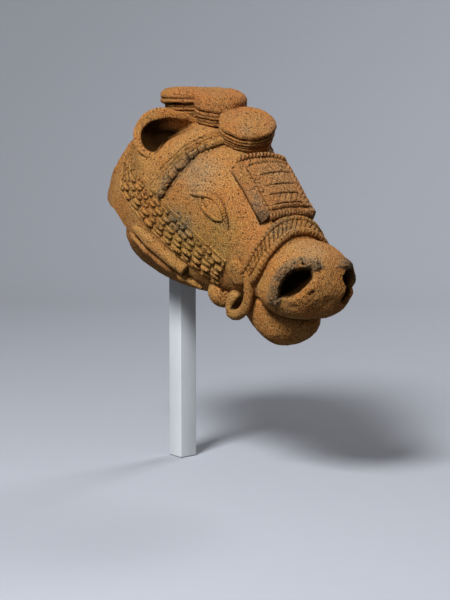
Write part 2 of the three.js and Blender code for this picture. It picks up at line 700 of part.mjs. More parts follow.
// Harness and eyes of each side
for (const [name, side] of Object.entries(SIDES)) {
  const tongueAngle = angleAtHeight(TONGUE_ALONG, TONGUE_HEIGHT, side);
  const tongue = (grow) => lump(
    SKULL, TONGUE_ALONG, tongueAngle, TONGUE_LONG + grow, TONGUE_THICK + grow, TONGUE_TALL + grow,
  );
  lay(`bit_tongue_${name}`, tongue, COLOURS.strap);

  const ringPath = RING_PATH.map((point) => onSide(point, side));
  const ring = (grow) => cord(ringPath, RING_RADIUS + grow, ROLL_SIDES, RING_STEPS);
  lay(`bit_ring_${name}`, ring, COLOURS.strap);

  const knobPlace = onSide(KNOB_PLACE, side);
  const knob = (grow) => new THREE.SphereGeometry(1, LUMP_AROUND, LUMP_ROWS)
    .scale(KNOB_LONG + grow, KNOB_WIDE + grow, KNOB_TALL + grow)
    .translate(knobPlace.x, knobPlace.y, knobPlace.z);
  lay(`bit_knob_${name}`, knob, COLOURS.strap);

  for (let row = 1; row <= STRAP_ROWS; row += 1) {
    const path = strapPath(row, side);
    const pellets = (grow) => cord(path, STRAP_RADIUS + grow, CORD_SIDES, STRAP_STEPS);
    lay(`cheek_strap_${name}_row_${row}`, pellets, COLOURS.strap);
  }

  for (const roll of THROAT_ROLLS) {
    const path = spread(0, 1, ROLL_STEPS).map((t) => {
      const along = THREE.MathUtils.lerp(...roll.run, t);
      const height = THREE.MathUtils.lerp(...roll.heights, t);
      return skin(SKULL, along, angleAtHeight(along, height, side), roll.radius * COIL_STAND);
    });
    const rolled = (grow) => cord(path, roll.radius + grow, ROLL_SIDES, ROLL_STEPS);
    lay(`throat_roll_${name}_${roll.name}`, rolled, COLOURS.strap);
  }

  const eyeAngle = side * EYE_ANGLE * RADIANS;
  const eyeball = (grow) => lump(
    SKULL, EYE_ALONG, eyeAngle, EYE_LONG + grow, EYE_THICK + grow, EYE_TALL + grow,
  );
  lay(`eyeball_${name}`, eyeball, COLOURS.eye);
  const eyelid = (lid, radius) => {
    const path = lid.map(
      ([along, angle]) => skin(SKULL, along * PART, side * angle * RADIANS, radius * COIL_STAND),
    );
    return (grow) => cord(path, radius + grow, LID_SIDES, LID_STEPS);
  };
  lay(`upper_eyelid_${name}`, eyelid(UPPER_LID, UPPER_LID_RADIUS), COLOURS.eye);
  lay(`lower_eyelid_${name}`, eyelid(LOWER_LID, LOWER_LID_RADIUS), COLOURS.eye);
}

export default horse;
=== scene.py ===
import math

import bpy
import numpy as np
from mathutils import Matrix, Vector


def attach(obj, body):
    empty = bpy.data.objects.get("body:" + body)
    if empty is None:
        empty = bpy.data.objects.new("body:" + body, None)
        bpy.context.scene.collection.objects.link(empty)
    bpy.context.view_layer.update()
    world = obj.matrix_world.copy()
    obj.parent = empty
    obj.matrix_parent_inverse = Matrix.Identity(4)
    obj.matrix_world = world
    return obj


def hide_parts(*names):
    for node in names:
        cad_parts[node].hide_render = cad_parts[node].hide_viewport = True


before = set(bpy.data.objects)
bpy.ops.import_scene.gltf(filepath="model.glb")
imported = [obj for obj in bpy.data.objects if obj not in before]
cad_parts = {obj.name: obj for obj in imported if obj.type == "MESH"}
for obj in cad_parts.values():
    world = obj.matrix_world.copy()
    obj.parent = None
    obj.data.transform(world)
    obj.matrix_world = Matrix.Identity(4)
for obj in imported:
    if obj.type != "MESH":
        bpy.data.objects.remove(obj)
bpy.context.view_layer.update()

# Display post: a square bar of milky acrylic, sawn to length, its faces polished and its arrises
# broken with a file. It stands on its flat foot and holds the pin that the head is lowered onto.
POST_SIDE = 0.016
POST_HEIGHT = 0.165
POST_ARRIS = 0.0007
POST_CLOUDS = ((0.63, 0.67, 0.72, 1), (0.68, 0.72, 0.77, 1))


def closed_skin(name, grid, crisp=180):
    """Object from a grid of points in metres: rows run along the piece, columns go round it and close.
    A fan about the mean of the first row, and of the last, shuts the ends. Faces are turned outwards by
    the sign of the enclosed volume, the sum of corner a times (b cross c) over all triangles. Edges
    that bend by more than crisp degrees stay sharp."""
    rows, cols = grid.shape[:2]
    points = np.concatenate([grid.reshape(-1, 3), grid[[0, -1]].mean(1)])
    here = np.arange(rows * cols).reshape(rows, cols)
    beside = np.roll(here, -1, 1)
    quads = np.stack([here[:-1], beside[:-1], beside[1:], here[1:]], -1).reshape(-1, 4)
    first = np.stack([np.full(cols, rows * cols), beside[0], here[0]], -1)
    last = np.stack([np.full(cols, rows * cols + 1), here[-1], beside[-1]], -1)
    fans = np.concatenate([first, last])
    a, b, c = np.moveaxis(points[np.concatenate([quads[:, :3], quads[:, [0, 2, 3]], fans])], 1, 0)
    if (a * np.cross(b, c)).sum() < 0:
        quads, fans = quads[:, ::-1], fans[:, ::-1]
    mesh = bpy.data.meshes.new(name)
    mesh.vertices.add(len(points))
    mesh.vertices.foreach_set("co", points.astype(np.float32).ravel())
    corners = np.concatenate([quads.ravel(), fans.ravel()]).astype(np.int32)
    mesh.loops.add(len(corners))
    mesh.loops.foreach_set("vertex_index", corners)
    sizes = np.repeat([4, 3], [len(quads), len(fans)])
    mesh.polygons.add(len(sizes))
    mesh.polygons.foreach_set("loop_start", (np.cumsum(sizes) - sizes).astype(np.int32))
    mesh.update(calc_edges=True)
    mesh.validate()
    mesh.shade_smooth()
    if crisp < 180:
        mesh.set_sharp_from_angle(angle=math.radians(crisp))
    piece = bpy.data.objects.new(name, mesh)
    bpy.context.scene.collection.objects.link(piece)
    return piece


def add_node(tree, kind, values=None, wires=None, **settings):
    """Adds one node to a material's tree: settings go on the node, values on its sockets, and wires are
    other nodes' outputs led into its sockets."""
    made = tree.nodes.new(kind)
    for key, value in settings.items():
        setattr(made, key, value)
    for key, value in (values or {}).items():
        made.inputs[key].default_value = value
    for key, output in (wires or {}).items():
        tree.links.new(output, made.inputs[key])
    return made


def new_finish(name, roughness, **shader_values):
    """New material with its shader's plain sockets set; gives the material, its tree, its shader and the
    Object coordinates."""
    material = bpy.data.materials.new(name)
    material.use_nodes = True
    tree = material.node_tree
    shader = tree.nodes["Principled BSDF"]
    shader.inputs["Roughness"].default_value = roughness
    for key, value in shader_values.items():
        shader.inputs[key.replace("_", " ")].default_value = value
    coords = add_node(tree, "ShaderNodeTexCoord").outputs["Object"]
    return material, tree, shader, coords


def ramp(tree, source, low, high):
    """Smooth step of a value from 0 at low to 1 at high."""
    step = add_node(tree, "ShaderNodeMapRange", {1: low, 2: high}, {0: source},
                    interpolation_type="SMOOTHSTEP")
    return step.outputs[0]


def blended(tree, share, one, other):
    """Colour mix: one where share is 0, other where it is 1; each is a colour or another node's output."""
    mix = add_node(tree, "ShaderNodeMix", data_type="RGBA")
    for socket, source in ((0, share), (6, one), (7, other)):
        if isinstance(source, bpy.types.NodeSocket):
            tree.links.new(source, mix.inputs[socket])
        else:
            mix.inputs[socket].default_value = source
    return mix.outputs[2]


def noise(tree, where, scale, detail, roughness=0.5):
    """Soft noise from 0 to 1 at a place, its scale in lumps to the metre."""
    made = add_node(tree, "ShaderNodeTexNoise",
                    {"Scale": scale, "Detail": detail, "Roughness": roughness}, {"Vector": where})
    return made.outputs[0]


def roughen(tree, shader, height, strength, distance):
    """Bumps a finish by a height, of which 1 stands for a distance in metres."""
    bump = add_node(tree, "ShaderNodeBump", {"Strength": strength, "Distance": distance}, {"Height": height})
    tree.links.new(bump.outputs[0], shader.inputs["Normal"])


def post_acrylic():
    """Milky acrylic: slow clouds drawn out along the bar give the colour, fine polishing lines the bump."""
    material, tree, shader, coords = new_finish("post_acrylic", 0.22, Coat_Weight=0.25, IOR=1.49)
    drawn = add_node(tree, "ShaderNodeMapping", {"Scale": (1, 1, 0.3)}, {"Vector": coords}).outputs[0]
    colour = blended(tree, ramp(tree, noise(tree, drawn, 70, 4), 0.3, 0.7), *POST_CLOUDS)
    tree.links.new(colour, shader.inputs["Base Color"])
    roughen(tree, shader, noise(tree, drawn, 2400, 2), 0.08, 0.0002)
    return material


quarter = np.repeat(np.arange(4) * math.pi / 2, 5)
turn = quarter + np.tile(np.linspace(0, math.pi / 2, 5), 4)
diagonal = np.stack([np.cos(quarter + math.pi / 4), np.sin(quarter + math.pi / 4)], -1)
core = diagonal * (POST_SIDE / 2 - POST_ARRIS) * math.sqrt(2)
rise = np.array([0, POST_ARRIS, POST_HEIGHT / 3, POST_HEIGHT * 2 / 3, POST_HEIGHT - POST_ARRIS, POST_HEIGHT])
round_off = POST_ARRIS * np.array([0, 1, 1, 1, 1, 0])
edge = np.stack([np.cos(turn), np.sin(turn)], -1)
level = core + round_off[:, None, None] * edge
post_grid = np.concatenate([level, np.broadcast_to(rise[:, None, None], level.shape[:2] + (1,))], -1)
post = closed_skin("display_post", post_grid, crisp=12)
post.data.materials.append(post_acrylic())
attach(post, "mount")
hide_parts("mount_post")

# Pin: a length of drawn brass rod let into the top of the post, its free end rounded so that the
# socket finds it. Hidden in the head until the head is lifted off.
PIN_RADIUS = 0.005
PIN_FOOT = 0.125
PIN_TOP = 0.245
PIN_CHAMFER = 0.001
BRASS_TONES = ((0.46, 0.33, 0.13, 1), (0.62, 0.47, 0.20, 1))


def unit(vectors):
    """Vectors made one long."""
    return vectors / np.linalg.norm(vectors, axis=-1, keepdims=True)


def turned(profile, place, axis, cols):
    """Body of revolution: profile rows of radius and height along the axis, swept round the axis through
    a place."""
    axis = unit(np.asarray(axis, float))
    side = unit(np.cross(axis, (1, 0, 0) if abs(axis[0]) < 0.9 else (0, 1, 0)))
    other = np.cross(axis, side)
    turn = np.arange(cols) * 2 * math.pi / cols
    spoke = np.cos(turn)[:, None] * side + np.sin(turn)[:, None] * other
    profile = np.asarray(profile, float)
    return profile[:, :1, None] * spoke + profile[:, 1, None, None] * axis + np.asarray(place, float)


def drawn_brass():
    """Dull drawn brass: die lines along the rod in roughness and bump, and a colour darkened by handling."""
    material, tree, shader, coords = new_finish("drawn_brass", 0.4, Metallic=1.0)
    along = add_node(tree, "ShaderNodeMapping", {"Scale": (1, 1, 0.02)}, {"Vector": coords}).outputs[0]
    lines = noise(tree, along, 2600, 3)
    tone = blended(tree, ramp(tree, noise(tree, coords, 120, 4), 0.35, 0.7), *BRASS_TONES)
    tree.links.new(tone, shader.inputs["Base Color"])
    tree.links.new(ramp(tree, lines, -0.3, 1.6), shader.inputs["Roughness"])
    roughen(tree, shader, lines, 0.15, 0.0001)
    return material


dome = np.linspace(0, math.pi / 2, 9)[:-1]
shank = [(PIN_RADIUS - PIN_CHAMFER, PIN_FOOT), (PIN_RADIUS, PIN_FOOT + PIN_CHAMFER),
         (PIN_RADIUS, POST_HEIGHT), (PIN_RADIUS, (POST_HEIGHT + PIN_TOP) / 2)]
tip = np.stack([PIN_RADIUS * np.cos(dome), PIN_TOP - PIN_RADIUS * (1 - np.sin(dome))], -1)
pin = closed_skin("mount_pin_rod", turned(shank + list(tip), (0, 0, 0), (0, 0, 1), 40), crisp=40)
pin.data.materials.append(drawn_brass())
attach(pin, "mount")
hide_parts("mount_pin")

# Plug: a turned block of pale softwood packed into the hollow head. Its foot rests on the post's top
# and its bored socket takes the pin.
PLUG_CLEARANCE = 0.0003
PLUG_RADIUS = 0.016
PLUG_FOOT = POST_HEIGHT + PLUG_CLEARANCE
PLUG_MIDDLE = 0.215
PLUG_TOP = 0.262
PLUG_EDGE, PLUG_FOOT_EDGE = 0.001, 0.0012
SOCKET_RADIUS = PIN_RADIUS + PLUG_CLEARANCE
DRILL_POINT = 0.0015
WOOD_TONES = ((0.50, 0.34, 0.19, 1), (0.33, 0.20, 0.10, 1))
WOOD_PORES = (0.20, 0.11, 0.05, 1)


def turned_softwood():
    """Softwood: growth rings as bands about an axis beside the plug, stretched along the grain, with fine
    pores."""
    material, tree, shader, coords = new_finish("turned_softwood", 0.75)
    grain = add_node(tree, "ShaderNodeMapping", {"Location": (0.03, 0.02, 0), "Scale": (1, 1, 0.06)},
                     {"Vector": coords}).outputs[0]
    rings = add_node(tree, "ShaderNodeTexWave", {"Scale": 60, "Distortion": 3.5, "Detail": 3},
                     {"Vector": grain}, wave_type="RINGS", rings_direction="Z")
    pores = noise(tree, grain, 1500, 3)
    tone = blended(tree, rings.outputs[1], *WOOD_TONES)
    tone = blended(tree, ramp(tree, pores, 0.58, 0.75), tone, WOOD_PORES)
    tree.links.new(tone, shader.inputs["Base Color"])
    roughen(tree, shader, pores, 0.3, 0.0003)
    return material


plug_profile = [
    (PLUG_EDGE, PLUG_TOP), (PLUG_RADIUS - PLUG_EDGE, PLUG_TOP), (PLUG_RADIUS, PLUG_TOP - PLUG_EDGE),
    (PLUG_RADIUS, PLUG_MIDDLE), (PLUG_RADIUS, PLUG_FOOT + PLUG_FOOT_EDGE),
    (PLUG_RADIUS - PLUG_FOOT_EDGE, PLUG_FOOT), (SOCKET_RADIUS + PLUG_EDGE, PLUG_FOOT),
    (SOCKET_RADIUS, PLUG_FOOT + PLUG_EDGE), (SOCKET_RADIUS, PIN_TOP), (PLUG_EDGE, PIN_TOP + DRILL_POINT)]
plug = closed_skin("neck_plug_block", turned(plug_profile, (0, 0, 0), (0, 0, 1), 48), crisp=30)
plug.data.materials.append(turned_softwood())
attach(plug, "head")
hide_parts("neck_plug")

# Head shell: a hollow skull and nose of coarse clay built up by hand, smoothed on the cheeks, broken off
# at the neck, fired unglazed to an orange brown with pale, olive and reddish clouds and grey smoke marks.
HEAD_TILT = math.radians(41)
HEAD_PLACE = (97, 0, 258)
SKULL = np.array([  # along the nose, crest, underside, widest height, half width, in millimetres
    (-110, -102, -126, -114, 8), (-103, -80, -140, -113, 24), (-88, -46, -150, -109, 39),
    (-58, -22, -156, -96, 51), (-20, -7, -152, -82, 52), (15, -3, -136, -66, 47),
    (50, -8, -110, -52, 40), (78, -13, -86, -44, 34), (97, -15, -72, -40, 31)], float)
SQUARENESS = 2.4
WALL = 10
HOLLOW_REAR, HOLLOW_FRONT = -92, 60
NECK_BREAK = [  # along, out: the broken rear edge, its step down and the run of the break below
    (-200, -186), (-92, -140), (-80, -133), (-68, -126), (-59, -122), (-46, -120), (-38, -120),
    (-36, -127.5), (-32, -134), (-31, -142), (-26, -165), (-16, -220), (-200, -320), (-200, -186)]
SLOT_MIDDLE, SLOT_LENGTH, SLOT_HALF, SLOT_ROOF = -24, 36, 24, -115
SMOKE_MARKS = np.array([  # along, across, out, reach, strength
    (15, -47, -64, 9, 1.0), (4, -49, -67, 8, 0.9), (-20.5, -41, -29, 6, 0.8), (-20.7, -47, -42, 8, 1.0),
    (-20, -50, -53, 6, 0.9), (-5, -41, -25, 11, 0.75), (3, -46, -37, 6, 0.5), (57, -24, -13, 5, 0.8),
    (47, -26, -10, 5, 0.5), (71, -9, -8, 8, 0.7), (74, -21, -13, 8, 0.6), (44, -39, -34, 5, 0.4),
    (-8, 12, 12, 9, 0.45), (-11, -13, 13, 6, 0.6), (8, 48, -66, 10, 0.8), (-20, 46, -42, 9, 0.8),
    (58, 24, -12, 9, 0.6), (28, 42, -94, 13, 0.5), (-70, 44, -90, 14, 0.5), (-84, -30, -120, 12, 0.4)], float)
CLOUD_MARKS = np.array([  # along, across, out, reach, strength: above 0 pale, below 0 olive
    (-2, -40, -28, 20, 0.9), (-40, -30, -24, 16, 0.4), (106, -10, -4, 20, 0.8), (30, 0, 2, 30, 0.5),
    (-20, -4, 12, 18, 0.15), (22, -46, -72, 22, -0.9), (48, -39, -58, 20, -0.7), (44, -37, -36, 20, -0.6),
    (-2, -50, -76, 18, -0.7), (-58, -47, -66, 12, -0.8), (12, -27, -1, 5, -0.7), (20, -27, -3, 5, -0.8),
    (28, -26, -4, 5, -0.8), (100, -34, -40, 14, -0.5), (0, 42, -30, 20, 0.8), (20, 46, -72, 24, -0.8),
    (-75, 30, -60, 26, 0.5), (-90, -5, -90, 25, -0.5), (-40, 30, -140, 26, 0.5)], float)
CLAY_PALE, CLAY_OLIVE = (0.49, 0.276, 0.112, 1), (0.362, 0.192, 0.036, 1)
SMOKE_HAZE, SMOKE_SOOT = (0.135, 0.135, 0.098, 1), (0.070, 0.068, 0.051, 1)
GRAIN_DARK, GRAIN_LIGHT = (0.03, 0.014, 0.005, 1), (0.95, 0.62, 0.29, 1)
# Painted shade in the sparse pin pits of the clay.
PIN_PIT_SHADE = (0.035, 0.015, 0.006, 1)
CLAY_GLOSS = 0.18
BROW_CREASE = (-13.4, 3, 72, 12)  # front end along, bow to the rear, lower and upper end in degrees
EYE_CREASES = (  # deep lines inside the lids: along the nose, degrees from the crest
    ((13, 54.6), (17, 52.4), (23, 51.4), (28, 52.4), (32, 54.4), (37, 57.6), (41, 60.5)),
    ((25, 61), (30, 62), (35, 62), (39, 60.8)))
EYE_PAINTED_SHADES = (  # faint painted shade outside the lids, in the same way
    ((3, 55), (11, 50.6), (17, 47.4), (23, 46.3), (28, 47.3), (32, 49.5), (38, 53.6), (43, 57.8), (48, 64)),
    ((13, 58.5), (16, 61), (21, 64.2), (25, 65.8), (30, 66.8), (35, 66.8), (40, 64.5)))
PIN_HOLE = (-13.4, -45.2)  # along the nose, degrees from the crest
EAR_SKIRT = np.array([(-67.6, 44.2, -63.1), (-44, 51, -66.7)])
# Painted shadow of the forehead disc, with its dark crust, on the skull below it: along the nose, across, out
DISC_SHADOW_AND_CRUST = np.array([(-11.8, 11.2, -6.0), (-5.2, 17.5, -6.5), (-2.6, 29.0, -12.5)])


def in_place(points):
    """Head frame in millimetres (down the nose, to the horse's left, out of the forehead) to the shared
    frame in metres: turned down by the tilt about the cross axis, then moved to the head's place."""
    along, across, out = np.moveaxis(points, -1, 0)
    c, s = math.cos(HEAD_TILT), math.sin(HEAD_TILT)
    return (np.stack([along * c + out * s, across, out * c - along * s], -1) + HEAD_PLACE) / 1000


def in_head(points):
    """The way back of in_place: shared frame in metres to head frame in millimetres."""
    x, y, z = np.moveaxis(points * 1000 - HEAD_PLACE, -1, 0)
    c, s = math.cos(HEAD_TILT), math.sin(HEAD_TILT)
    return np.stack([x * c - z * s, y, x * s + z * c], -1)


def smooth(t):
    """Smooth step of a share: three times its square less twice its cube."""
    return t * t * (3 - 2 * t)


def measure(stations, column, along):
    """Smooth curve through one column of stations: a cubic between neighbours, with the slope at each
    station that of the line from the one before it to the one after it."""
    at, value = stations[:, 0], stations[:, column]
    before, after = np.r_[0, 0:len(at) - 1], np.r_[1:len(at), len(at) - 1]
    slope = (value[after] - value[before]) / (at[after] - at[before])
    i = np.clip(np.searchsorted(at, along) - 1, 0, len(at) - 2)
    span = at[i + 1] - at[i]
    t = np.clip((along - at[i]) / span, 0, 1)
    ease = smooth(t)
    bend = t * (1 - t) * span * ((1 - t) * slope[i] - t * slope[i + 1])
    return value[i] * (1 - ease) + value[i + 1] * ease + bend


def grid_of(*parts):
    """Points from their coordinates, each of which may vary along one side of the grid only."""
    return np.stack(np.broadcast_arrays(*parts), -1)


def section(stations, along, angle):
    """Point of a cross section, a superellipse about its widest height; angle 0 is the crest, and the
    horse's left is positive."""
    crest, under, middle, half = (measure(stations, column, along) for column in (1, 2, 3, 4))
    up, out = np.cos(angle), np.sin(angle)
    tall = np.where(up >= 0, crest - middle, middle - under)
    reach = (np.abs(out / half) ** SQUARENESS + np.abs(up / tall) ** SQUARENESS) ** (-1 / SQUARENESS)
    return grid_of(along, reach * out, middle + reach * up)


def skin(stations, along, angle, lift=0.0):
    """Section point lifted along its outward direction, the cross product of a step down the nose and a
    step round the section; gives the points and those directions."""
    along, angle = np.broadcast_arrays(np.asarray(along, float), np.asarray(angle, float))
    ahead = section(stations, np.minimum(along + 0.5, stations[-1, 0]), angle)
    behind = section(stations, np.maximum(along - 0.5, stations[0, 0]), angle)
    step_round = section(stations, along, angle + 0.01) - section(stations, along, angle - 0.01)
    out = unit(np.cross(ahead - behind, step_round))
    return section(stations, along, angle) + out * np.asarray(lift, float)[..., None], out


def lattice_values(cells, seed):
    """A fixed random number from 0 to 1 for each integer lattice point and seed, by mixing its bits."""
    k = cells @ np.array([73856093, 19349663, 83492791]) + seed * 15485863
    k = ((k ^ (k >> 13)) * 1274126177) & 0xFFFFFFFF
    k = ((k ^ (k >> 15)) * 668265263) & 0xFFFFFFFF
    return ((k ^ (k >> 16)) & 0xFFFF) / 65535


def lumps(points, size, seed):
    """Smooth noise from -1 to 1: random values on a lattice of that size, blended by smooth steps."""
    cell = np.floor(points / size)
    t = smooth(points / size - cell)
    total = np.zeros(points.shape[:-1])
    for corner in np.stack(np.meshgrid([0, 1], [0, 1], [0, 1]), -1).reshape(-1, 3):
        weight = np.where(corner, t, 1 - t).prod(-1)
        total += weight * lattice_values(cell.astype(np.int64) + corner, seed)
    return total * 2 - 1


def pits(points, size, share, seed):
    """Round pits, 1 deep at their middle: in a share of the lattice cubes a centre at a random place, with
    a depth of 1 less the squared distance in quarters of the cube, and never below 0."""
    cell = np.floor(points / size).astype(np.int64)
    deepest = np.zeros(points.shape[:-1])
    for step in np.stack(np.meshgrid([-1, 0, 1], [-1, 0, 1], [-1, 0, 1]), -1).reshape(-1, 3):
        near = cell + step
        centre = near + np.stack([lattice_values(near, seed + k) for k in (1, 2, 3)], -1)
        wide = 0.2 + 0.25 * lattice_values(near, seed + 5)
        depth = 1 - (((points / size - centre) / wide[..., None]) ** 2).sum(-1)
        deepest = np.maximum(deepest, np.where(lattice_values(near, seed + 4) < share, depth, 0))
    return deepest


def weathered(grid, hand=0.45, rough=0.2, pitted=0.4, share=0.16):
    """Hand-worked clay: every point moves along its outward direction, by slow lumps (hand), finer lumps
    (rough) and down into sparse pits, all read from its own place, so that neighbours agree."""
    out = np.cross(np.gradient(grid, axis=0), np.roll(grid, -1, 1) - np.roll(grid, 1, 1))
    out /= np.linalg.norm(out, axis=-1, keepdims=True) + 1e-9
    if (out * (grid - grid.mean(1, keepdims=True))).sum() < 0:
        out = -out
    move = hand * lumps(grid, 11, 3) + rough * lumps(grid, 3.4, 5) + rough * lumps(grid, 1.7, 7)
    move -= pitted * pits(grid, 3.2, share, 11)
    return grid + out * move[..., None]


def near(points, line, width):
    """Bell curve of the distance from each point to the nearest point of a line."""
    least = np.full(points.shape[:-1], np.inf)
    for spot in line:
        least = np.minimum(least, ((points - spot) ** 2).sum(-1))
    return np.exp(-least / width ** 2)


def summed(points, marks):
    """Sum of the marks' bell curves at each point, each by the squared distance over its reach."""
    far = ((points[:, None] - marks[:, :3]) ** 2).sum(-1) / marks[:, 3] ** 2
    return (marks[:, 4] * np.exp(-far)).sum(1)


def head_points(piece):
    """A piece's own points in the head frame."""
    points = np.empty(len(piece.data.vertices) * 3, np.float32)
    piece.data.vertices.foreach_get("co", points)
    return in_head(points.reshape(-1, 3).astype(float))


def mark(piece, recess_shade_and_dirt, smoke=0):
    """Writes the attributes that the clay reads: smoke, from the marks and the piece's own, broken up by
    lumps; cloud, pale above 0 and olive below; and a third of dirt packed in the hollows together with
    painted shade there. The middle of an end takes the mean of its row."""
    points = head_points(piece)
    dirt_and_shade_amount, own = np.zeros((2, len(points)))
    for values, given in ((dirt_and_shade_amount, recess_shade_and_dirt), (own, smoke)):
        values[:np.size(given)] = np.ravel(given)
        if np.ndim(given) == 2:
            values[np.size(given):] = np.mean(given[0]), np.mean(given[-1])
    broken_up = 0.8 + 0.5 * lumps(points, 4, 21) + 0.35 * lumps(points, 1.8, 22)
    smoky = np.maximum(summed(points, SMOKE_MARKS), own) * broken_up
    cloudy = summed(points, CLOUD_MARKS) * (0.9 + 0.4 * lumps(points, 6, 23))
    for name, values, low in (("smoke", smoky, 0), ("cloud", cloudy, -1), ("recess_shade_and_dirt", dirt_and_shade_amount, 0)):
        piece.data.attributes.new(name, "FLOAT", "POINT").data.foreach_set(
            "value", np.clip(values, low, 1).astype(np.float32))


def times(tree, one, other):
    """Product of two values; the second is a number or another node's output."""
    product = add_node(tree, "ShaderNodeMath", None, {0: one}, operation="MULTIPLY")
    if isinstance(other, bpy.types.NodeSocket):
        tree.links.new(other, product.inputs[1])
    else:
        product.inputs[1].default_value = other
    return product.outputs[0]


def fired_clay(name, orange, tan, red, dirt_and_shade):
    """Unglazed coarse clay: slow clouds of orange, tan and red, pale or olive where marked, a strong light
    and dark grain of sand size, sparse pin pits painted dark as shade, and grey smoke and dark dirt with
    painted shade where the piece carries them. The little gloss fades out in the dirt and shade. The bump is
    the grain's height less the pits."""
    material, tree, shader, coords = new_finish(name, 0.93)
    grain = noise(tree, coords, 1000, 2, 0.6)
    sand = noise(tree, coords, 1500, 2, 0.6)
    grit = add_node(tree, "ShaderNodeTexVoronoi", {"Scale": 430}, {"Vector": coords})
    chance = add_node(tree, "ShaderNodeSeparateColor", None, {"Color": grit.outputs["Color"]}).outputs[0]
    smoke, cloud, recess_shade_and_dirt = (add_node(tree, "ShaderNodeAttribute", attribute_name=key).outputs["Fac"]
                            for key in ("smoke", "cloud", "recess_shade_and_dirt"))

    tone = blended(tree, ramp(tree, noise(tree, coords, 48, 5, 0.6), 0.38, 0.64), orange, tan)
    tone = blended(tree, times(tree, ramp(tree, noise(tree, coords, 19, 3), 0.52, 0.70), 0.5), tone, red)
    tone = blended(tree, times(tree, ramp(tree, cloud, 0.0, 1.0), 0.75), tone, CLAY_PALE)
    tone = blended(tree, times(tree, ramp(tree, cloud, 0.0, -1.0), 0.8), tone, CLAY_OLIVE)
    grey = blended(tree, ramp(tree, smoke, 0.45, 0.95), SMOKE_HAZE, SMOKE_SOOT)
    tone = blended(tree, times(tree, smoke, ramp(tree, grain, 0.68, 0.48)), tone, grey)
    dark = blended(tree, 0.85, tone, GRAIN_DARK)
    light = blended(tree, 0.48, tone, GRAIN_LIGHT)
    tone = blended(tree, times(tree, ramp(tree, grain, 0.50, 0.38), 0.95), tone, dark)
    tone = blended(tree, times(tree, ramp(tree, sand, 0.53, 0.64), 0.9), tone, light)
    # Dirt and painted shade: the piece's hollows darkened towards the dark colour it was given.
    tone = blended(tree, recess_shade_and_dirt, tone, dirt_and_shade)

    inside = ramp(tree, grit.outputs["Distance"], 0.31, 0.17)
    hole = times(tree, inside, ramp(tree, chance, 0.68, 0.70))
    # Painted shade in the sparse pin pits.
    tone = blended(tree, hole, tone, PIN_PIT_SHADE)
    tree.links.new(tone, shader.inputs["Base Color"])
    gloss = times(tree, ramp(tree, recess_shade_and_dirt, 0.9, 0.2), CLAY_GLOSS)
    tree.links.new(gloss, shader.inputs["Specular IOR Level"])

    height = add_node(tree, "ShaderNodeMath", None, {0: grain, 1: sand}, operation="ADD").outputs[0]
    height = add_node(tree, "ShaderNodeMath", None, {0: height, 1: hole}, operation="SUBTRACT").outputs[0]
    roughen(tree, shader, height, 1.0, 0.0015)
    return material


def carved(piece, *cutters):
    """Cuts other closed shapes out of a piece and removes them."""
    for cutter in cutters:
        cut = piece.modifiers.new("cut", "BOOLEAN")
        cut.operation = "DIFFERENCE"
        cut.solver = "MANIFOLD"
        cut.object = cutter
    graph = bpy.context.evaluated_depsgraph_get()
    mesh = bpy.data.meshes.new_from_object(piece.evaluated_get(graph))
    piece.modifiers.clear()
    piece.data = mesh
    for cutter in cutters:
        bpy.data.objects.remove(cutter)


def run_length(points):
    """Length along a chain of points, from 0 at the first."""
    return np.r_[0, np.cumsum(np.linalg.norm(np.diff(points, axis=0), axis=1))]


def even_alongs(stations, rows):
    """Places along the nose, close together where crest, width and underside change fast: equal steps of the
    length measured in all of them."""
    fine = np.linspace(stations[0, 0], stations[-1, 0], 3000)
    track = np.stack([fine] + [measure(stations, column, fine) for column in (1, 2, 4)], -1)
    length = run_length(track)
    return np.interp(np.linspace(0, length[-1], rows), length, fine)


def even_profile(corners, count):
    """Points at equal steps of length along a chain of corners."""
    corners = np.asarray(corners, float)
    length = run_length(corners)
    at = np.linspace(0, length[-1], count)
    return np.stack([np.interp(at, length, corners[:, k]) for k in (0, 1)], -1)


EAR_RIM = np.array([  # along, across, out
    (-50, -46.5, -55.5), (-64, -53, -58), (-78, -52, -50), (-82, -45, -36), (-76, -37, -25), (-66, -26, -21),
    (-54.5, -11, -22.5), (-51, -34.5, -40.5)], float)
EAR_ROOT = np.array((-70, -25, -55), float)
EAR_WALL, EAR_BULGE = 6, 4


def ear_rings(side, shares, insets, cols):
    """Rings of the ear's funnel from its root (share 0) to its rim (share 1): the rim is a closed smooth
    curve through its points, each spoke is shortened to the share, bulged by a half sine and inset."""
    rim = EAR_RIM * (1, -side, 1)
    root = EAR_ROOT * (1, -side, 1)
    at = np.arange(cols) * len(rim) / cols
    k = at.astype(int)
    t = (at - k)[:, None]
    before, here, after, beyond = (rim[(k + step) % len(rim)] for step in (-1, 0, 1, 2))
    curve = here + t * (after - before) / 2 + t ** 2 * (before - 2.5 * here + 2 * after - beyond / 2)
    curve = curve + t ** 3 * (1.5 * (here - after) + (beyond - before) / 2)
    centre = curve.mean(0)
    spoke = curve - centre
    long = np.linalg.norm(spoke, axis=-1)
    shares = np.asarray(shares, float)[:, None]
    reach = np.maximum(long * shares + EAR_BULGE * np.sin(math.pi * np.minimum(shares, 1)) - insets, 1)
    return root + shares[..., None] * (centre - root) + reach[..., None] * (spoke / long[:, None])


# Its darkest colour is for dirt and painted shade in the hollows.
clay_skin = fired_clay("terracotta_skin", orange=(0.466, 0.175, 0.033, 1), tan=(0.456, 0.210, 0.052, 1),
                       red=(0.412, 0.131, 0.032, 1), dirt_and_shade=(0.014, 0.006, 0.002, 1))

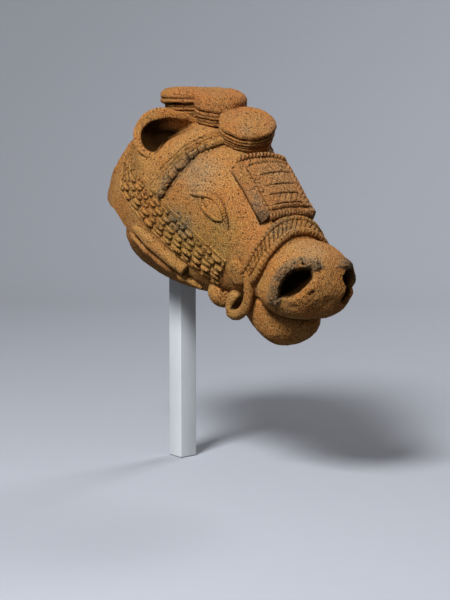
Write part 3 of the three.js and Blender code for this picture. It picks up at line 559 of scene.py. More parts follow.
crease_t = np.linspace(0, 1, 60)
front, bow, low, high = BROW_CREASE
crease_along = front - bow * np.sin(math.pi * crease_t)
crease_turn = np.radians(low + (high - low) * crease_t)
brow_lines = [skin(SKULL, crease_along, side * crease_turn)[0] for side in (-1, 1)]


def both_sides(creases):
    """Lines on the skull through the creases' points, joined straight, on the right and on the left."""
    lines = []
    for crease in creases:
        along, turns = even_profile(crease, 60).T
        lines += [skin(SKULL, along, side * np.radians(turns))[0] for side in (-1, 1)]
    return lines


eye_lines, eye_painted_shades = both_sides(EYE_CREASES), both_sides(EYE_PAINTED_SHADES)
pin_hole = skin(SKULL, [PIN_HOLE[0]], np.radians([PIN_HOLE[1]]))[0]


def shell_dirt_and_shade(points):
    """Dirt and painted shade of the shell: in the creases before the browband and round the eyes, painted
    shade outside the lids, in the pin hole, and the forehead disc's painted shadow with the crust under it."""
    dirt_and_shade = [0.75 * near(points, line, 1.3) for line in brow_lines]
    dirt_and_shade += [near(points, line, 1.2) for line in eye_lines]
    dirt_and_shade += [0.5 * near(points, line, 1.0) for line in eye_painted_shades]
    return np.max(dirt_and_shade + [near(points, pin_hole, 0.9), 0.4 * near(points, DISC_SHADOW_AND_CRUST, 6)], 0)


# The outer skin: rough and pitted on the brow, lumpy at the nape, creased before the browband and round the
# eyes, and drawn up to a low skirt under each ear.
along = even_alongs(SKULL, 268)[:, None]
angle = np.linspace(-math.pi, math.pi, 331)[None, :-1]
outer, outer_out = skin(SKULL, along, angle)
brow = np.clip(1 - np.abs(along + 38) / 16, 0, 1) * (np.abs(angle) < 1.25)
move = brow * (0.5 * lumps(outer, 2.6, 31) - 0.8 * pits(outer, 3.0, 0.3, 41))
move += 1.4 * np.clip((-74 - along) / 14, 0, 1) * (lumps(outer, 13, 33) + 0.5 * lumps(outer, 5, 34))
move -= sum(1.5 * near(outer, line, 1.6) for line in brow_lines)
move -= sum(1.7 * near(outer, line, 1.3) for line in eye_lines) + 1.6 * near(outer, pin_hole, 1.0)
skirt = EAR_SKIRT[0] + np.linspace(0, 1, 24)[:, None] * (EAR_SKIRT[1] - EAR_SKIRT[0])
fade = np.clip((-40 - along) / 26, 0, 1)
mirrored = np.stack([outer[..., 0], np.abs(outer[..., 1]), outer[..., 2]], -1)
move += 4.5 * fade * near(mirrored, skirt, 6.5)
outer = outer + outer_out * move[..., None]
shell = closed_skin("head_shell_clay", in_place(weathered(outer)))

# Cut out of it: the hollow, the broken neck, the slot above the post and the pits of the ears.
inner_along = np.linspace(HOLLOW_REAR, HOLLOW_FRONT, 90)[:, None]
inner_angle = np.linspace(-math.pi, math.pi, 161)[None, :-1]
inner = skin(SKULL, inner_along, inner_angle, -WALL)[0]
hollow = closed_skin("hollow", in_place(weathered(inner, hand=1.1, rough=0.35)))
chain = even_profile(NECK_BREAK, 640)[:-1]
broken = grid_of(chain[None, :, 0], np.linspace(-85, 85, 100)[:, None], chain[None, :, 1])
broken[..., 0] += 1.1 * lumps(broken, 8, 51) + 0.5 * lumps(broken, 2.8, 52)
broken[..., 2] += 1.1 * lumps(broken, 8, 53) + 0.5 * lumps(broken, 2.8, 54)
neck = closed_skin("neck", in_place(broken))
turn = np.arange(160) * 2 * math.pi / 160
circle = np.stack([np.cos(turn), np.sin(turn)], -1)
square = np.sign(circle) * np.abs(circle) ** 0.5
opening = grid_of(SLOT_MIDDLE + SLOT_LENGTH * square[:, 0], SLOT_HALF * square[:, 1],
                  np.linspace(SLOT_ROOF, SLOT_ROOF - 90, 60)[:, None])
opening[..., :2] += 0.9 * lumps(opening, 7, 55)[..., None] + 0.4 * lumps(opening, 2.6, 56)[..., None]
slot = closed_skin("slot", in_place(opening))
ear_pits = [closed_skin(f"ear_pit_{side}", in_place(
    ear_rings(side, np.linspace(0.3, 1.6, 24), 0.6 * EAR_WALL, 96))) for side in (-1, 1)]
carved(shell, hollow, neck, slot, *ear_pits)
shell.data.set_sharp_from_angle(angle=math.radians(55))
mark(shell, shell_dirt_and_shade(head_points(shell)))
shell.data.materials.clear()
shell.data.materials.append(clay_skin)
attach(shell, "head")
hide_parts("head_shell")

# Crest discs: three thick cakes of clay pressed onto the crest, patted to a low dome, their rims rounded
# by the thumb. The rear one has a groove scored round the lower half of its rim.
DISCS = {  # place, fore and side lean, radius, thickness, inset and drop of the dome; then, for the coils
    # below, how many, their radius, the ring they lie on and how much each ring is smaller
    "forehead": ((-21, -1, 8), -15.5, -13, 22.5, 6, 3, 2.5, 3, 2.4, 20, 1),
    "crown": ((-59, 0, -3), -32, -5, 21, 13, 7, 6, 2, 2.6, 18, 1.5),
    "poll": ((-86, 0, -22), -41, 0, 28, 12, 9, 6, 2, 2.6, 22, 1.5),
}
DISC_STEM, DISC_ROUNDING = 26, 2.5
# Its darkest colour is for dirt and painted shade in the hollows.
clay_crest = fired_clay("terracotta_crest", orange=(0.445, 0.158, 0.028, 1), tan=(0.414, 0.184, 0.044, 1),
                        red=(0.380, 0.117, 0.030, 1), dirt_and_shade=(0.016, 0.007, 0.003, 1))


def clay_piece(name, grid, finish, nodes, recess_shade_and_dirt=0, crisp=180, smoke=0):
    """One clay piece from its grid in head millimetres: marked, given its finish, riding on the head and
    standing for its solids."""
    piece = closed_skin(name, in_place(grid), crisp)
    mark(piece, recess_shade_and_dirt, smoke)
    piece.data.materials.append(finish)
    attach(piece, "head")
    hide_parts(*nodes)
    return piece


def lean(fore, side):
    """Axis of a disc: straight out of the forehead, leaned by the two angles' tangents."""
    return math.tan(math.radians(fore)), math.tan(math.radians(side)), 1


def groove(distance, width):
    """Scored line: 1 at its middle, falling off as a bell curve of the distance."""
    return np.exp(-(distance / width) ** 2)


for name, (place, fore, side, radius, thick, inset, drop, coils, coil_radius, ring, taper) in DISCS.items():
    half = thick / 2
    bend = np.linspace(0, math.pi / 2, 12)
    upper = np.stack([radius - inset * (1 - np.sin(bend)), half - drop * (1 - np.cos(bend))], -1)
    lower = np.stack([radius - DISC_ROUNDING * (1 - np.cos(bend)),
                      DISC_ROUNDING * (1 - np.sin(bend)) - half], -1)
    neck_radius = ring - taper * (coils - 1) - coil_radius
    corners = [(0.3, half + 0.5), (0.6 * (radius - inset), half + 0.3), *upper, *lower,
               (neck_radius + 0.6, -half - 0.8), (neck_radius, -half - 1.6), (neck_radius, -half - DISC_STEM)]
    profile = even_profile(corners, 120)
    if name == "poll":
        profile[:, 0] -= 1.2 * groove(profile[:, 1] + 2.3, 0.8) * (profile[:, 0] > radius - 4)
    grid = turned(profile, place, lean(fore, side), 200)
    # Painted shade, with dirt, under the cake where it meets its stem, and in the poll's scored groove.
    dirt_and_shade_amount = 0.8 * groove(profile[:, 1] + half + 0.8, 1.2)
    dirt_and_shade_amount = dirt_and_shade_amount + 0.6 * groove(profile[:, 1] + 2.3, 0.6) * (name == "poll")
    dirt_and_shade_amount = np.broadcast_to(dirt_and_shade_amount[:, None], grid.shape[:2])
    clay_piece(f"{name}_cake", weathered(grid, hand=0.8, rough=0.28, pitted=0.5, share=0.2),
               clay_crest, [f"{name}_disc"], dirt_and_shade_amount, crisp=70)

# Coils under the discs: thin ropes of clay wound round each stem in pairs, pinched together while wet,
# with dirt and painted shade in the grooves between them and on their sides towards the stem.
for name, (place, fore, side, radius, thick, inset, drop, coils, coil_radius, ring, taper) in DISCS.items():
    for number in range(coils):
        turn = np.arange(28) * 2 * math.pi / 28
        facing = (turn + math.pi) % (2 * math.pi) - math.pi
        level = thick / 2 + 0.3 + coil_radius + number * (2 * coil_radius + 0.3)
        reach = 1.06 * coil_radius * (1 - 0.36 * groove(facing, 0.42))
        profile = np.stack([ring - taper * number + reach * np.cos(turn),
                            1.06 * reach * np.sin(turn) - level], -1)
        swept = np.swapaxes(turned(profile, place, lean(fore, side), 180), 0, 1)
        swept = np.concatenate([swept, swept[:1]])
        # Painted shade, with dirt, on the side towards the stem and in the pinch.
        dirt_and_shade_amount = np.clip(0.55 - np.cos(turn), 0, 1) + 0.85 * groove(facing, 0.26)
        clay_piece(f"{name}_coil_{number + 1}_rope", weathered(swept, hand=0.5, rough=0.2, pitted=0.2),
                   clay_crest, [f"{name}_coil_{number + 1}"],
                   np.broadcast_to(np.clip(dirt_and_shade_amount, 0, 1), swept.shape[:2]))

# Ears: each a slab of clay folded into a cup and pressed onto the skull, its rim thick and rounded, thickest
# at the top and the back. Painted shade darkens the inside, but for the lit wall below the upper rim.
SIDES = {"right": -1, "left": 1}
EAR_SIDE_ROWS, EAR_LIP_ROWS, EAR_COLS = 34, 13, 150
EAR_FOOT, EAR_FLOOR, EAR_LIP, EAR_LIP_RISE = 0.25, 0.40, 0.97, 0.05
outside = np.linspace(EAR_FOOT, EAR_LIP, EAR_SIDE_ROWS)
lip = np.linspace(0, math.pi, EAR_LIP_ROWS)
inside = np.linspace(EAR_LIP, EAR_FLOOR, EAR_SIDE_ROWS)
ear_shares = np.concatenate([outside, EAR_LIP + EAR_LIP_RISE * np.sin(lip), inside])
ear_insets = np.concatenate([np.zeros_like(outside), (1 - np.cos(lip)) / 2, np.ones_like(inside)])[:, None]
ear_rows = np.arange(len(ear_shares))[:, None]
round_rim = np.arange(EAR_COLS) * len(EAR_RIM) / EAR_COLS
ear_wall = EAR_WALL + 3.0 * groove(round_rim - 3.6, 1.4)
# Painted shade inside the cup, from just within the lip down to the floor, taken off the lit wall and full in
# a band at one part of the rim.
ear_painted_shade = np.interp(ear_rows, (43, 48, 49, 80), (0, 0.9, 0.9, 1))
lit_wall = 0.9 * np.clip((79 - ear_rows) / 12, 0, 1) * groove(round_rim - 5.6, 1.2)
ear_painted_shade = np.maximum(ear_painted_shade * (1 - lit_wall), groove(round_rim - 7.1, 0.75))
for name, side in SIDES.items():
    cup = weathered(ear_rings(side, ear_shares, ear_insets * ear_wall, EAR_COLS), hand=0.5, rough=0.2)
    clay_piece(f"ear_{name}_cup", cup, clay_skin, [f"ear_{name}"], ear_painted_shade)

# Browband: a broad band of coils laid over the brow from the cheek strap up to the forehead disc, the
# rear ones smeared together and pitted, the front one left standing, lumpy, smoked grey and nicked.
BROW_LOW, BROW_HIGH = math.radians(74), math.radians(8)
BROW_FRONT, BROW_PITCH, BROW_BOW = -18, 5.6, 3
BROW_WIDTH, BROW_EDGE, BROW_RUN = 3 * BROW_PITCH + 3.5, 3.4, 75
BROW_CORD, BROW_CORD_HEIGHT, BROW_NICKS, BROW_LINE_PITCH = 3.2, 5.5, 11, 4.3
# Its darkest colour is for dirt and painted shade in the hollows.
clay_harness = fired_clay("terracotta_harness", orange=(0.445, 0.176, 0.034, 1), tan=(0.436, 0.212, 0.051, 1),
                          red=(0.402, 0.141, 0.039, 1), dirt_and_shade=(0.013, 0.006, 0.002, 1))


def band(along, angle, height, depth=4):
    """Band laid on the skull: a grid of surface points lifted by a height field, closed underneath by the
    same points sunk into the wall. Rows run along the band, columns across it."""
    top, out = skin(SKULL, along, angle, height)
    under = skin(SKULL, along, angle)[0] - out * depth
    return np.concatenate([top, under[:, ::-6], under[:, :1]], 1)


def pad_shade_and_dirt(recess_shade_and_dirt, grid):
    """Values of dirt and painted shade on a band's upper side, with 0 for the columns underneath."""
    return np.pad(recess_shade_and_dirt, ((0, 0), (0, grid.shape[1] - recess_shade_and_dirt.shape[1])))


for name, side in SIDES.items():
    t = np.linspace(0, 1, 210)[:, None]
    w = np.linspace(0, 1, 61)[None, :]
    along = BROW_FRONT + BROW_EDGE - BROW_BOW * np.sin(math.pi * t) - BROW_WIDTH * (1 - w)
    angle = side * (BROW_LOW + (BROW_HIGH - BROW_LOW) * t)

    # The front cord stands up as a half round, uneven in width and pinched by nicks.
    spot = grid_of(BROW_RUN * t, 0.0, 0.0)
    uneven = lumps(spot, 5, 61) + 0.6 * lumps(spot, 2.3, 62)
    from_cord = (w - 1) * BROW_WIDTH + BROW_CORD + 0.35 * lumps(spot, 7, 63)
    nick = np.sin(2 * math.pi * (BROW_NICKS * t + 0.07 * from_cord) + 2.6 * uneven)
    nick = np.clip(nick * 1.8 - 0.75, 0, 1)
    nick = nick * np.clip(0.6 + 1.1 * lumps(spot, 6, 65), 0.1, 1)
    cord_half = (BROW_CORD + 0.35 * uneven) * (1 - 0.22 * nick)
    cord = np.sqrt(np.clip(1 - (from_cord / cord_half) ** 2, 0, 1))

    # The smeared bed behind it carries broken scored lines, deeper towards the crest, and pricks.
    fan = np.clip((t - 0.2) / 0.35, 0, 1)
    lines = np.cos(2 * math.pi * (from_cord + 2.6 * (1 - t)) / BROW_LINE_PITCH)
    dash = np.clip(0.8 + 1.4 * lumps(grid_of(BROW_RUN * t, 0.5 * from_cord, 0.0), 2.6, 64), 0, 1)
    score = np.clip(-2.2 * lines - 0.5, 0, 1) * fan * dash
    bed = 0.6 + 1.5 * np.clip(w * 1.4, 0, 1) + (0.3 + 0.6 * fan) * lines * np.clip(w * 5, 0, 1) - 1.1 * score
    bed = np.where(from_cord > 1, -1.5, bed)
    height = np.maximum(bed, -1.5 + (BROW_CORD_HEIGHT + 0.7 * uneven) * cord - 1.5 * nick * cord)
    prick = np.clip(1.5 * pits(skin(SKULL, along, angle)[0], 2.6, 0.75, 83), 0, 1) * (from_cord < -2)
    height = height - prick

    # Both ends and the rear edge run down into the skin.
    ends = np.clip(np.minimum(t * 40, (1 - t) * 14), 0, 1)
    height = -1.2 + (height + 1.2) * ends * np.clip(w * 9, 0, 1)
    grid = weathered(band(along, angle, height), hand=0.5, rough=0.3, pitted=0.8, share=0.4)
    # Dirt and painted shade in the nicks, the scored lines and the pricks, in a strip before the cord and
    # near the lower end.
    dirt_and_shade = 0.8 * nick * (from_cord > -3.3) + 0.95 * score * (from_cord < -2.5) + 0.7 * prick
    dirt_and_shade = dirt_and_shade + 0.9 * np.clip((from_cord - 2.4) / 0.6, 0, 1)
    dirt_and_shade = np.clip(dirt_and_shade + 0.55 * np.clip(1 - t / 0.12, 0, 1) * (from_cord > -3), 0, 0.9)
    smoked = 0.85 * np.clip(2 * cord, 0, 1) * np.clip((0.8 - t) * 5, 0, 1)
    clay_piece(f"browband_{name}", grid, clay_harness,
               [f"browband_{name}_coil_{k}" for k in (1, 2, 3)], pad_shade_and_dirt(dirt_and_shade, grid),
               smoke=pad_shade_and_dirt(smoked, grid))

# Face plate: a slab of clay pressed onto the nose, low at its upper end and high at the lower, with sloping
# sides. Its crowned face is scored with cross lines and faint slanting strokes, with two rows of nicks above
# them and a beaded edge below.
PLATE_REAR, PLATE_FRONT = 2, 58.4
PLATE_REAR_HALF, PLATE_FRONT_HALF = 28.5, 26
PLATE_PROUD, PLATE_CROWN, PLATE_ROOT = 7, 5.5, 16
PLATE_LINES = (27.5, 38.0, 46.3, 55.0)
FIELD_REAR, FIELD_HALF, FIELD_OFF, BORDER_HALF = 20, 15.5, 0.5, 16.5
STROKE_PITCH, BORDER_PITCH, NICK_PITCH, BEAD_PITCH = 4.6, 3.6, 2.7, 2.6
# Its darkest colour is for dirt and painted shade in the hollows.
clay_plate = fired_clay("terracotta_plate", orange=(0.426, 0.155, 0.036, 1), tan=(0.424, 0.186, 0.055, 1),
                        red=(0.382, 0.132, 0.041, 1), dirt_and_shade=(0.015, 0.007, 0.003, 1))


def across_angle(along, across):
    """Angle from the crest of the skull's top at a distance across, by the superellipse solved for height."""
    middle, half = measure(SKULL, 3, along), measure(SKULL, 4, along)
    up = (measure(SKULL, 1, along) - middle) * (1 - np.abs(across / half) ** SQUARENESS) ** (1 / SQUARENESS)
    return np.arctan2(across, up)


def plate_half(along):
    """Half width of the plate, narrowing evenly to the front."""
    return PLATE_REAR_HALF + (PLATE_FRONT_HALF - PLATE_REAR_HALF) * (along - 5) / (PLATE_FRONT - 5)


along = np.linspace(PLATE_REAR, PLATE_FRONT, 250)[:, None]
share = np.linspace(-1, 1, 221)[None, :]
t = (along - PLATE_REAR) / (PLATE_FRONT - PLATE_REAR)
half = plate_half(along)
across = half * share
crest = measure(SKULL, 1, along)
bone = section(SKULL, along, across_angle(along, across))[..., 2]
edge = np.where(across < 0, 24.6 - 3.4 * t, 17.5 + 6 * t)
fall = np.clip((np.abs(across) - edge) / (half - edge), 0, 1)
flat_top = crest + PLATE_PROUD - PLATE_CROWN * share ** 2
rise = smooth(np.clip((along - PLATE_REAR) / 7, 0, 1))
height = bone - 1.0 + (flat_top - bone + 1.0) * rise * (1 - fall)

# The scored field: wandering cross lines, and between them slanting strokes that change sides.
off_middle = np.abs(across + FIELD_OFF)
below_nicks = along > FIELD_REAR
field = np.clip((FIELD_HALF - t - off_middle) / 0.6, 0, 1)
wander = [0.15 * lumps(grid_of(across, 0.0, line), 5, 70) for line in PLATE_LINES]
score = sum(groove(along - line - stray, 0.55) for line, stray in zip(PLATE_LINES, wander)) * field
zone = np.searchsorted(PLATE_LINES, along[:, 0])[:, None]
slant = np.where(zone % 2 == 0, -1.0, 1.0)
stroke = groove((across * 0.8 + slant * along * 0.62) % STROKE_PITCH - STROKE_PITCH / 2, 0.5)
stroke = stroke * field * below_nicks

# Beside the field a line and a border of slanting nicks; above it two rows of nicks.
edging = groove(off_middle - (FIELD_HALF + 0.3 - t), 0.5) * below_nicks
border = groove((along * 0.9 + np.abs(across) * 0.55) % BORDER_PITCH - BORDER_PITCH / 2, 0.6)
border = border * (np.abs(across) > BORDER_HALF) * (fall < 0.1) * below_nicks
bead = np.clip(np.sin(2 * math.pi * across / NICK_PITCH) * 1.5 - 0.2, 0, 1)
nicks = groove(along - 13.2 - 0.22 * across, 0.8) * bead * np.clip((4 - across) / 6, 0, 1) * (fall < 0.8)
nicks = nicks + groove(along - 17.2 - 0.10 * across, 1.1) * (0.35 + 0.65 * bead) * (np.abs(across) < 19)

# All of it is worn unevenly. A fold runs along the near edge, and a beaded ridge along the lower end.
worn = 0.7 + 0.45 * lumps(grid_of(along, across, height), 5, 71)
carve = score + 0.7 * stroke * worn + 0.8 * border * worn + 0.5 * edging + 1.8 * nicks
fold = groove(np.abs(across) - edge + 1.3, 0.55) * (across < 0) * (along > 12) * np.clip(0.3 + worn, 0, 1)
carve = carve * (0.8 + 0.25 * worn) + 0.7 * fold
bead_edge = groove(along - 57.3, 0.9) * (np.abs(across) < 18.5)
height = height + 1.3 * bead_edge
bead_gap = np.clip(np.sin(2 * math.pi * (across + 0.5 * along) / BEAD_PITCH) * 1.6 - 0.3, 0, 1)
carve = carve + 1.3 * bead_edge * bead_gap
top = grid_of(along, across, height - carve)
corner = np.clip((along - 44) / 14, 0, 1) ** 2 * np.clip((np.abs(across) - 20) / 3, 0, 1)
top[..., 0] += 4.2 * corner + 4.0 * (1 - t) ** 2 * np.clip(-across / 25, 0, 1)
feet = [grid_of(along, half * place, crest - PLATE_ROOT) for place in (1, 0.3, -0.3, -1)]
grid = weathered(np.concatenate([top] + feet, 1), hand=0.45, rough=0.24, pitted=0.45, share=0.2)
wall = np.clip(fall * 7, 0, 1)
# Dirt and painted shade in the scores, strokes, border, nicks and fold; painted shade along the foot of the
# sides, in the lower near corner and faintly on the near wall.
foot_painted_shade = 0.9 * groove(fall - 0.92, 0.12) * np.clip((along - 6) / 8, 0, 1)
dirt_and_shade_amount = 0.95 * score + 0.45 * stroke * worn + 0.55 * border * worn + 0.95 * nicks + foot_painted_shade + 0.6 * fold
dirt_and_shade_amount = np.clip(dirt_and_shade_amount + (0.5 * corner + 0.05 * wall) * (across < 0), 0, 0.92)
smoked = wall * np.clip((along - 33) / 14, 0, 1) * np.where(across < 0, 0.9, 0.5)
clay_piece("face_plate_slab", grid, clay_plate, ["face_plate"],
           pad_shade_and_dirt(dirt_and_shade_amount, grid), crisp=60, smoke=pad_shade_and_dirt(smoked, grid))

# Cords of the plate: two ropes of clay rolled by hand, a thin one across its upper end, drawn down at both
# sides, and a thick one along its foot. Each is pressed on and nicked on the slant with a stick.
TOP_CORD_ALONG, TOP_CORD_SHARE, TOP_CORD_RADIUS = 10.5, 0.88, 2.2
BOTTOM_CORD_ALONG, BOTTOM_CORD_STAND, BOTTOM_CORD_RADIUS = 60.4, 2.6, 3.4


def rope(path, out, radius, cols, turns=0, slant=1.0, bite=0.0, taper=0.06):
    """Rope along a path: a round section in the frame of the outward direction and the path's side, thinned
    by a quarter circle at both ends and bitten by nicks, cosine bands of the place along it plus the slant
    times the turn round it. Gives the grid and the depth of the nicks."""
    track = unit(np.gradient(path, axis=0))
    side = unit(np.cross(track, out))
    turn = np.arange(cols) * 2 * math.pi / cols
    length = run_length(path)
    t = (length / length[-1])[:, None]
    end = np.clip(np.minimum(t, 1 - t) / taper, 0.02, 1)
    nick = np.clip(np.cos(2 * math.pi * turns * t + slant * turn) * 1.8 - 0.8, 0, 1) * (turns > 0)
    reach = np.asarray(radius) * np.sqrt(1 - (1 - end) ** 2) * (1 - bite * nick)
    ring = np.cos(turn)[:, None] * out[:, None] + np.sin(turn)[:, None] * side[:, None]
    return path[:, None] + reach[..., None] * ring, nick


share = np.linspace(-TOP_CORD_SHARE, TOP_CORD_SHARE, 200)
across = share * plate_half(TOP_CORD_ALONG)
flat_top = measure(SKULL, 1, TOP_CORD_ALONG) + PLATE_PROUD - PLATE_CROWN * share ** 2
low_end = np.where(across < 0, np.clip((-across - 21.5) / 14, 0, 1), np.clip((across - 16.5) / 10.5, 0, 1))
bone = section(SKULL, TOP_CORD_ALONG, across_angle(TOP_CORD_ALONG, across))[..., 2]
out_of_line = np.where(across < 0, 0.05, 0.22) * across - 0.1
path = np.stack([TOP_CORD_ALONG + out_of_line, across,
                 flat_top + (bone - flat_top) * low_end ** 1.1 + 0.2], -1)
straight_out = np.broadcast_to((0.0, 0.0, 1.0), path.shape)
grid, nick = rope(path, straight_out, TOP_CORD_RADIUS, 20, turns=17, slant=0.9, bite=0.45)
# Dirt and painted shade in the nicks.
clay_piece("plate_top_cord_rope", weathered(grid, hand=0.3, rough=0.2, pitted=0.25), clay_plate,
           ["plate_top_cord"], np.clip(nick * 1.4, 0, 1))
across = np.linspace(-19, 20, 220)
path, out = skin(SKULL, BOTTOM_CORD_ALONG, across_angle(BOTTOM_CORD_ALONG, across), BOTTOM_CORD_STAND)
grid, nick = rope(path, out, BOTTOM_CORD_RADIUS, 24, turns=16, slant=1.1, bite=0.5, taper=0.03)
# Dirt and painted shade in the nicks.
clay_piece("plate_bottom_cord_rope", weathered(grid, hand=0.3, rough=0.18, pitted=0.2), clay_plate,
           ["plate_bottom_cord"], np.clip(nick * 1.4, 0, 1))

# Noseband: two ropes of clay pressed on round the nose with a flat plait between them, cut with long slanting
# strokes. It lies further down the nose at the sides than on top.
NOSEBAND_REACH = math.radians(108)
NOSEBAND_BITE, CORD_STAND = 0.2, 0.35
NOSE_GIRTH, PLAIT_SLANT, PLAIT_PITCH, PLAIT_HEIGHT = 34, 10, 4.5, 2.8
NOSEBAND_CORDS = {  # place on the crest, drop at the sides, radius, nicks
    "upper": (65.3, 13.5, 2.0, 40), "lower": (77.3, 13.0, 2.6, 38)}


def cord_line(level, angle):
    """Place of a cord along the nose: its place on the crest plus the drop times the sine squared."""
    crest, drop = NOSEBAND_CORDS[level][:2]
    return crest + drop * np.sin(angle) ** 2


turn = np.linspace(-NOSEBAND_REACH, NOSEBAND_REACH, 420)
for level, (crest, drop, radius, count) in NOSEBAND_CORDS.items():
    path, out = skin(SKULL, cord_line(level, turn), turn, radius * CORD_STAND + 0.9)
    grid, nick = rope(path, out, radius * 1.08, 20, turns=count, slant=1.2, bite=NOSEBAND_BITE)
    grid = weathered(grid, hand=0.35, rough=0.2, pitted=0.25)
    # Dirt and painted shade in the nicks.
    clay_piece(f"noseband_{level}_cord_rope", grid, clay_harness,
               [f"noseband_{level}_cord"], nick * 2.4 * NOSEBAND_BITE)

angle = turn[:, None]
w = np.linspace(0, 1, 41)[None, :]
along = cord_line("upper", angle) * (1 - w) + cord_line("lower", angle) * w
fold = np.abs(w - 0.5) * 2
spot = grid_of(angle * NOSE_GIRTH, 8 * w, 0.0)
phase = (angle * NOSE_GIRTH + PLAIT_SLANT * w) / PLAIT_PITCH + 0.12 * lumps(spot, 5, 75)
stroke = np.clip(np.cos(2 * math.pi * phase) * 1.8 - 0.75, 0, 1) * np.clip((0.95 - fold) * 6, 0, 1)
flank = np.clip((np.abs(angle) - 0.8) / 0.5, 0, 1)
strand = flank * (groove(w - 0.36, 0.05) + groove(w - 0.66, 0.05))
height = PLAIT_HEIGHT * np.sqrt(np.clip(1 - fold ** 3, 0, 1)) - stroke - 0.7 * strand
grid = band(along, angle, height)
# Dirt and painted shade in the strokes, between the strands and along the plait's edges by the cords.
dirt_and_shade_amount = np.clip(stroke * 0.6 + 0.5 * strand + 0.7 * (fold > 0.9), 0, 0.9)
clay_piece("noseband_plait", weathered(grid, hand=0.35, rough=0.22, pitted=0.25), clay_harness,
           ["noseband_braid"], pad_shade_and_dirt(dirt_and_shade_amount, grid))

# Muzzle: a thick drum of clay fitted over the end of the nose, its rear edge slanting with the noseband,
# rounded in front, with a deep curled nostril on each side. The rim behind each is raised and pricked.
MUZZLE = np.array([  # stations as for the skull
    (83, -18, -52, -36, 29), (87, -10, -59, -40, 35), (97, -6, -62, -41, 38), (112, -4, -61, -39, 36.5),
    (126, -9, -55, -36, 29.5), (136, -17, -46, -33, 20.5), (140, -26, -40, -33, 9)], float)
MUZZLE_EDGE_DROP, MUZZLE_EDGE_FADE = 12, 1.5
NOSTRIL_RIGHT = np.array([  # along the nose, degrees from the crest
    (117.5, 86.5), (113.6, 74.5), (110.8, 64), (110, 54), (111.2, 44.7), (114.5, 35.7), (118, 28),
    (121.5, 28.5), (124.5, 33.5), (126, 41.5), (126.8, 52.5), (127, 62), (125.5, 71.5), (123, 81)])
NOSTRIL_LEFT = np.array([
    (114, 52), (118, 38), (122.5, 29.5), (126.3, 23), (129.7, 25.8), (132.3, 35.8), (136.1, 38.5),
    (138.4, 45.5), (139.2, 64.5), (138, 80), (133, 74), (127, 66), (120, 60)], float)
NOSTRIL_LOBE = np.array([
    (127.5, 33.7), (128.5, 40), (129.3, 45.8), (130, 54), (130.3, 61.5), (129.4, 70), (127.6, 78.8)])
NOSTRIL_PIT = np.array([(132, 54.5), (132, 50.5), (132, 46.7)])
NOSTRIL_DEPTH, MUZZLE_GIRTH = 13, 32
CHIN = np.array([  # the lower jaw's stations, which the dirt in the mouth follows
    (72, -62, -86, -72, 20), (84, -56, -93, -70, 25), (104, -54, -94, -69, 26), (122, -54, -90, -67, 22),
    (131, -57, -80, -66, 14), (134, -62, -73, -67, 6)], float)


def inside_outline(points, outline):
    """Signed distance to a closed outline in the plane, positive inside: the least distance to its sides,
    with the sign from how often a line to the right crosses them."""
    start, end = outline, np.roll(outline, -1, 0)
    way = end - start
    rel = points[..., None, :] - start
    t = np.clip((rel * way).sum(-1) / (way ** 2).sum(-1), 0, 1)
    least = np.linalg.norm(rel - t[..., None] * way, axis=-1).min(-1)
    spans = (start[:, 1] > points[..., None, 1]) != (end[:, 1] > points[..., None, 1])
    rise = np.where(way[:, 1] == 0, 1e-9, way[:, 1])
    meets = start[:, 0] + (points[..., None, 1] - start[:, 1]) * way[:, 0] / rise
    odd = (spans & (points[..., None, 0] < meets)).sum(-1) % 2
    return np.where(odd == 1, least, -least)


def beside(stations, points, reach):
    """Closeness to another body, 1 at its surface and 0 at the reach: how far a point lies outside the
    superellipse of the body's section, in shares of its size, times that size."""
    along = np.clip(points[..., 0], stations[0, 0], stations[-1, 0])
    crest, under, middle, half = (measure(stations, column, along) for column in (1, 2, 3, 4))
    tall = np.where(points[..., 2] >= middle, crest - middle, middle - under)
    aside, above = np.abs(points[..., 1] / half), np.abs((points[..., 2] - middle) / tall)
    outside = (aside ** SQUARENESS + above ** SQUARENESS) ** (1 / SQUARENESS)
    gap = (outside - 1) * tall + np.abs(points[..., 0] - along)
    return np.clip(1 - gap / reach, 0, 1)


def blunt_body(stations, rows, shares, bulge, cols):
    """Body through stations, closed in front: its last section is drawn together about its middle by the
    shares, and pushed forward by the bulge times one less the share squared. Gives the grid and its
    outward directions, and the places along, the angles and the shares of its rows and columns."""
    along = np.r_[even_alongs(stations, rows), np.full(len(shares), stations[-1, 0])][:, None]
    shrink = np.r_[np.ones(rows), shares][:, None]
    angle = np.linspace(-math.pi, math.pi, cols + 1)[None, :-1]
    grid, out = skin(stations, along, angle)
    middle = np.array((stations[-1, 0], 0, stations[-1, 3]))
    forward = (bulge, 0, 0) * (1 - shrink[..., None] ** 2)
    drawn = middle + (grid - middle) * shrink[..., None] + forward
    return np.where(shrink[..., None] < 1, drawn, grid), out, along, angle, shrink


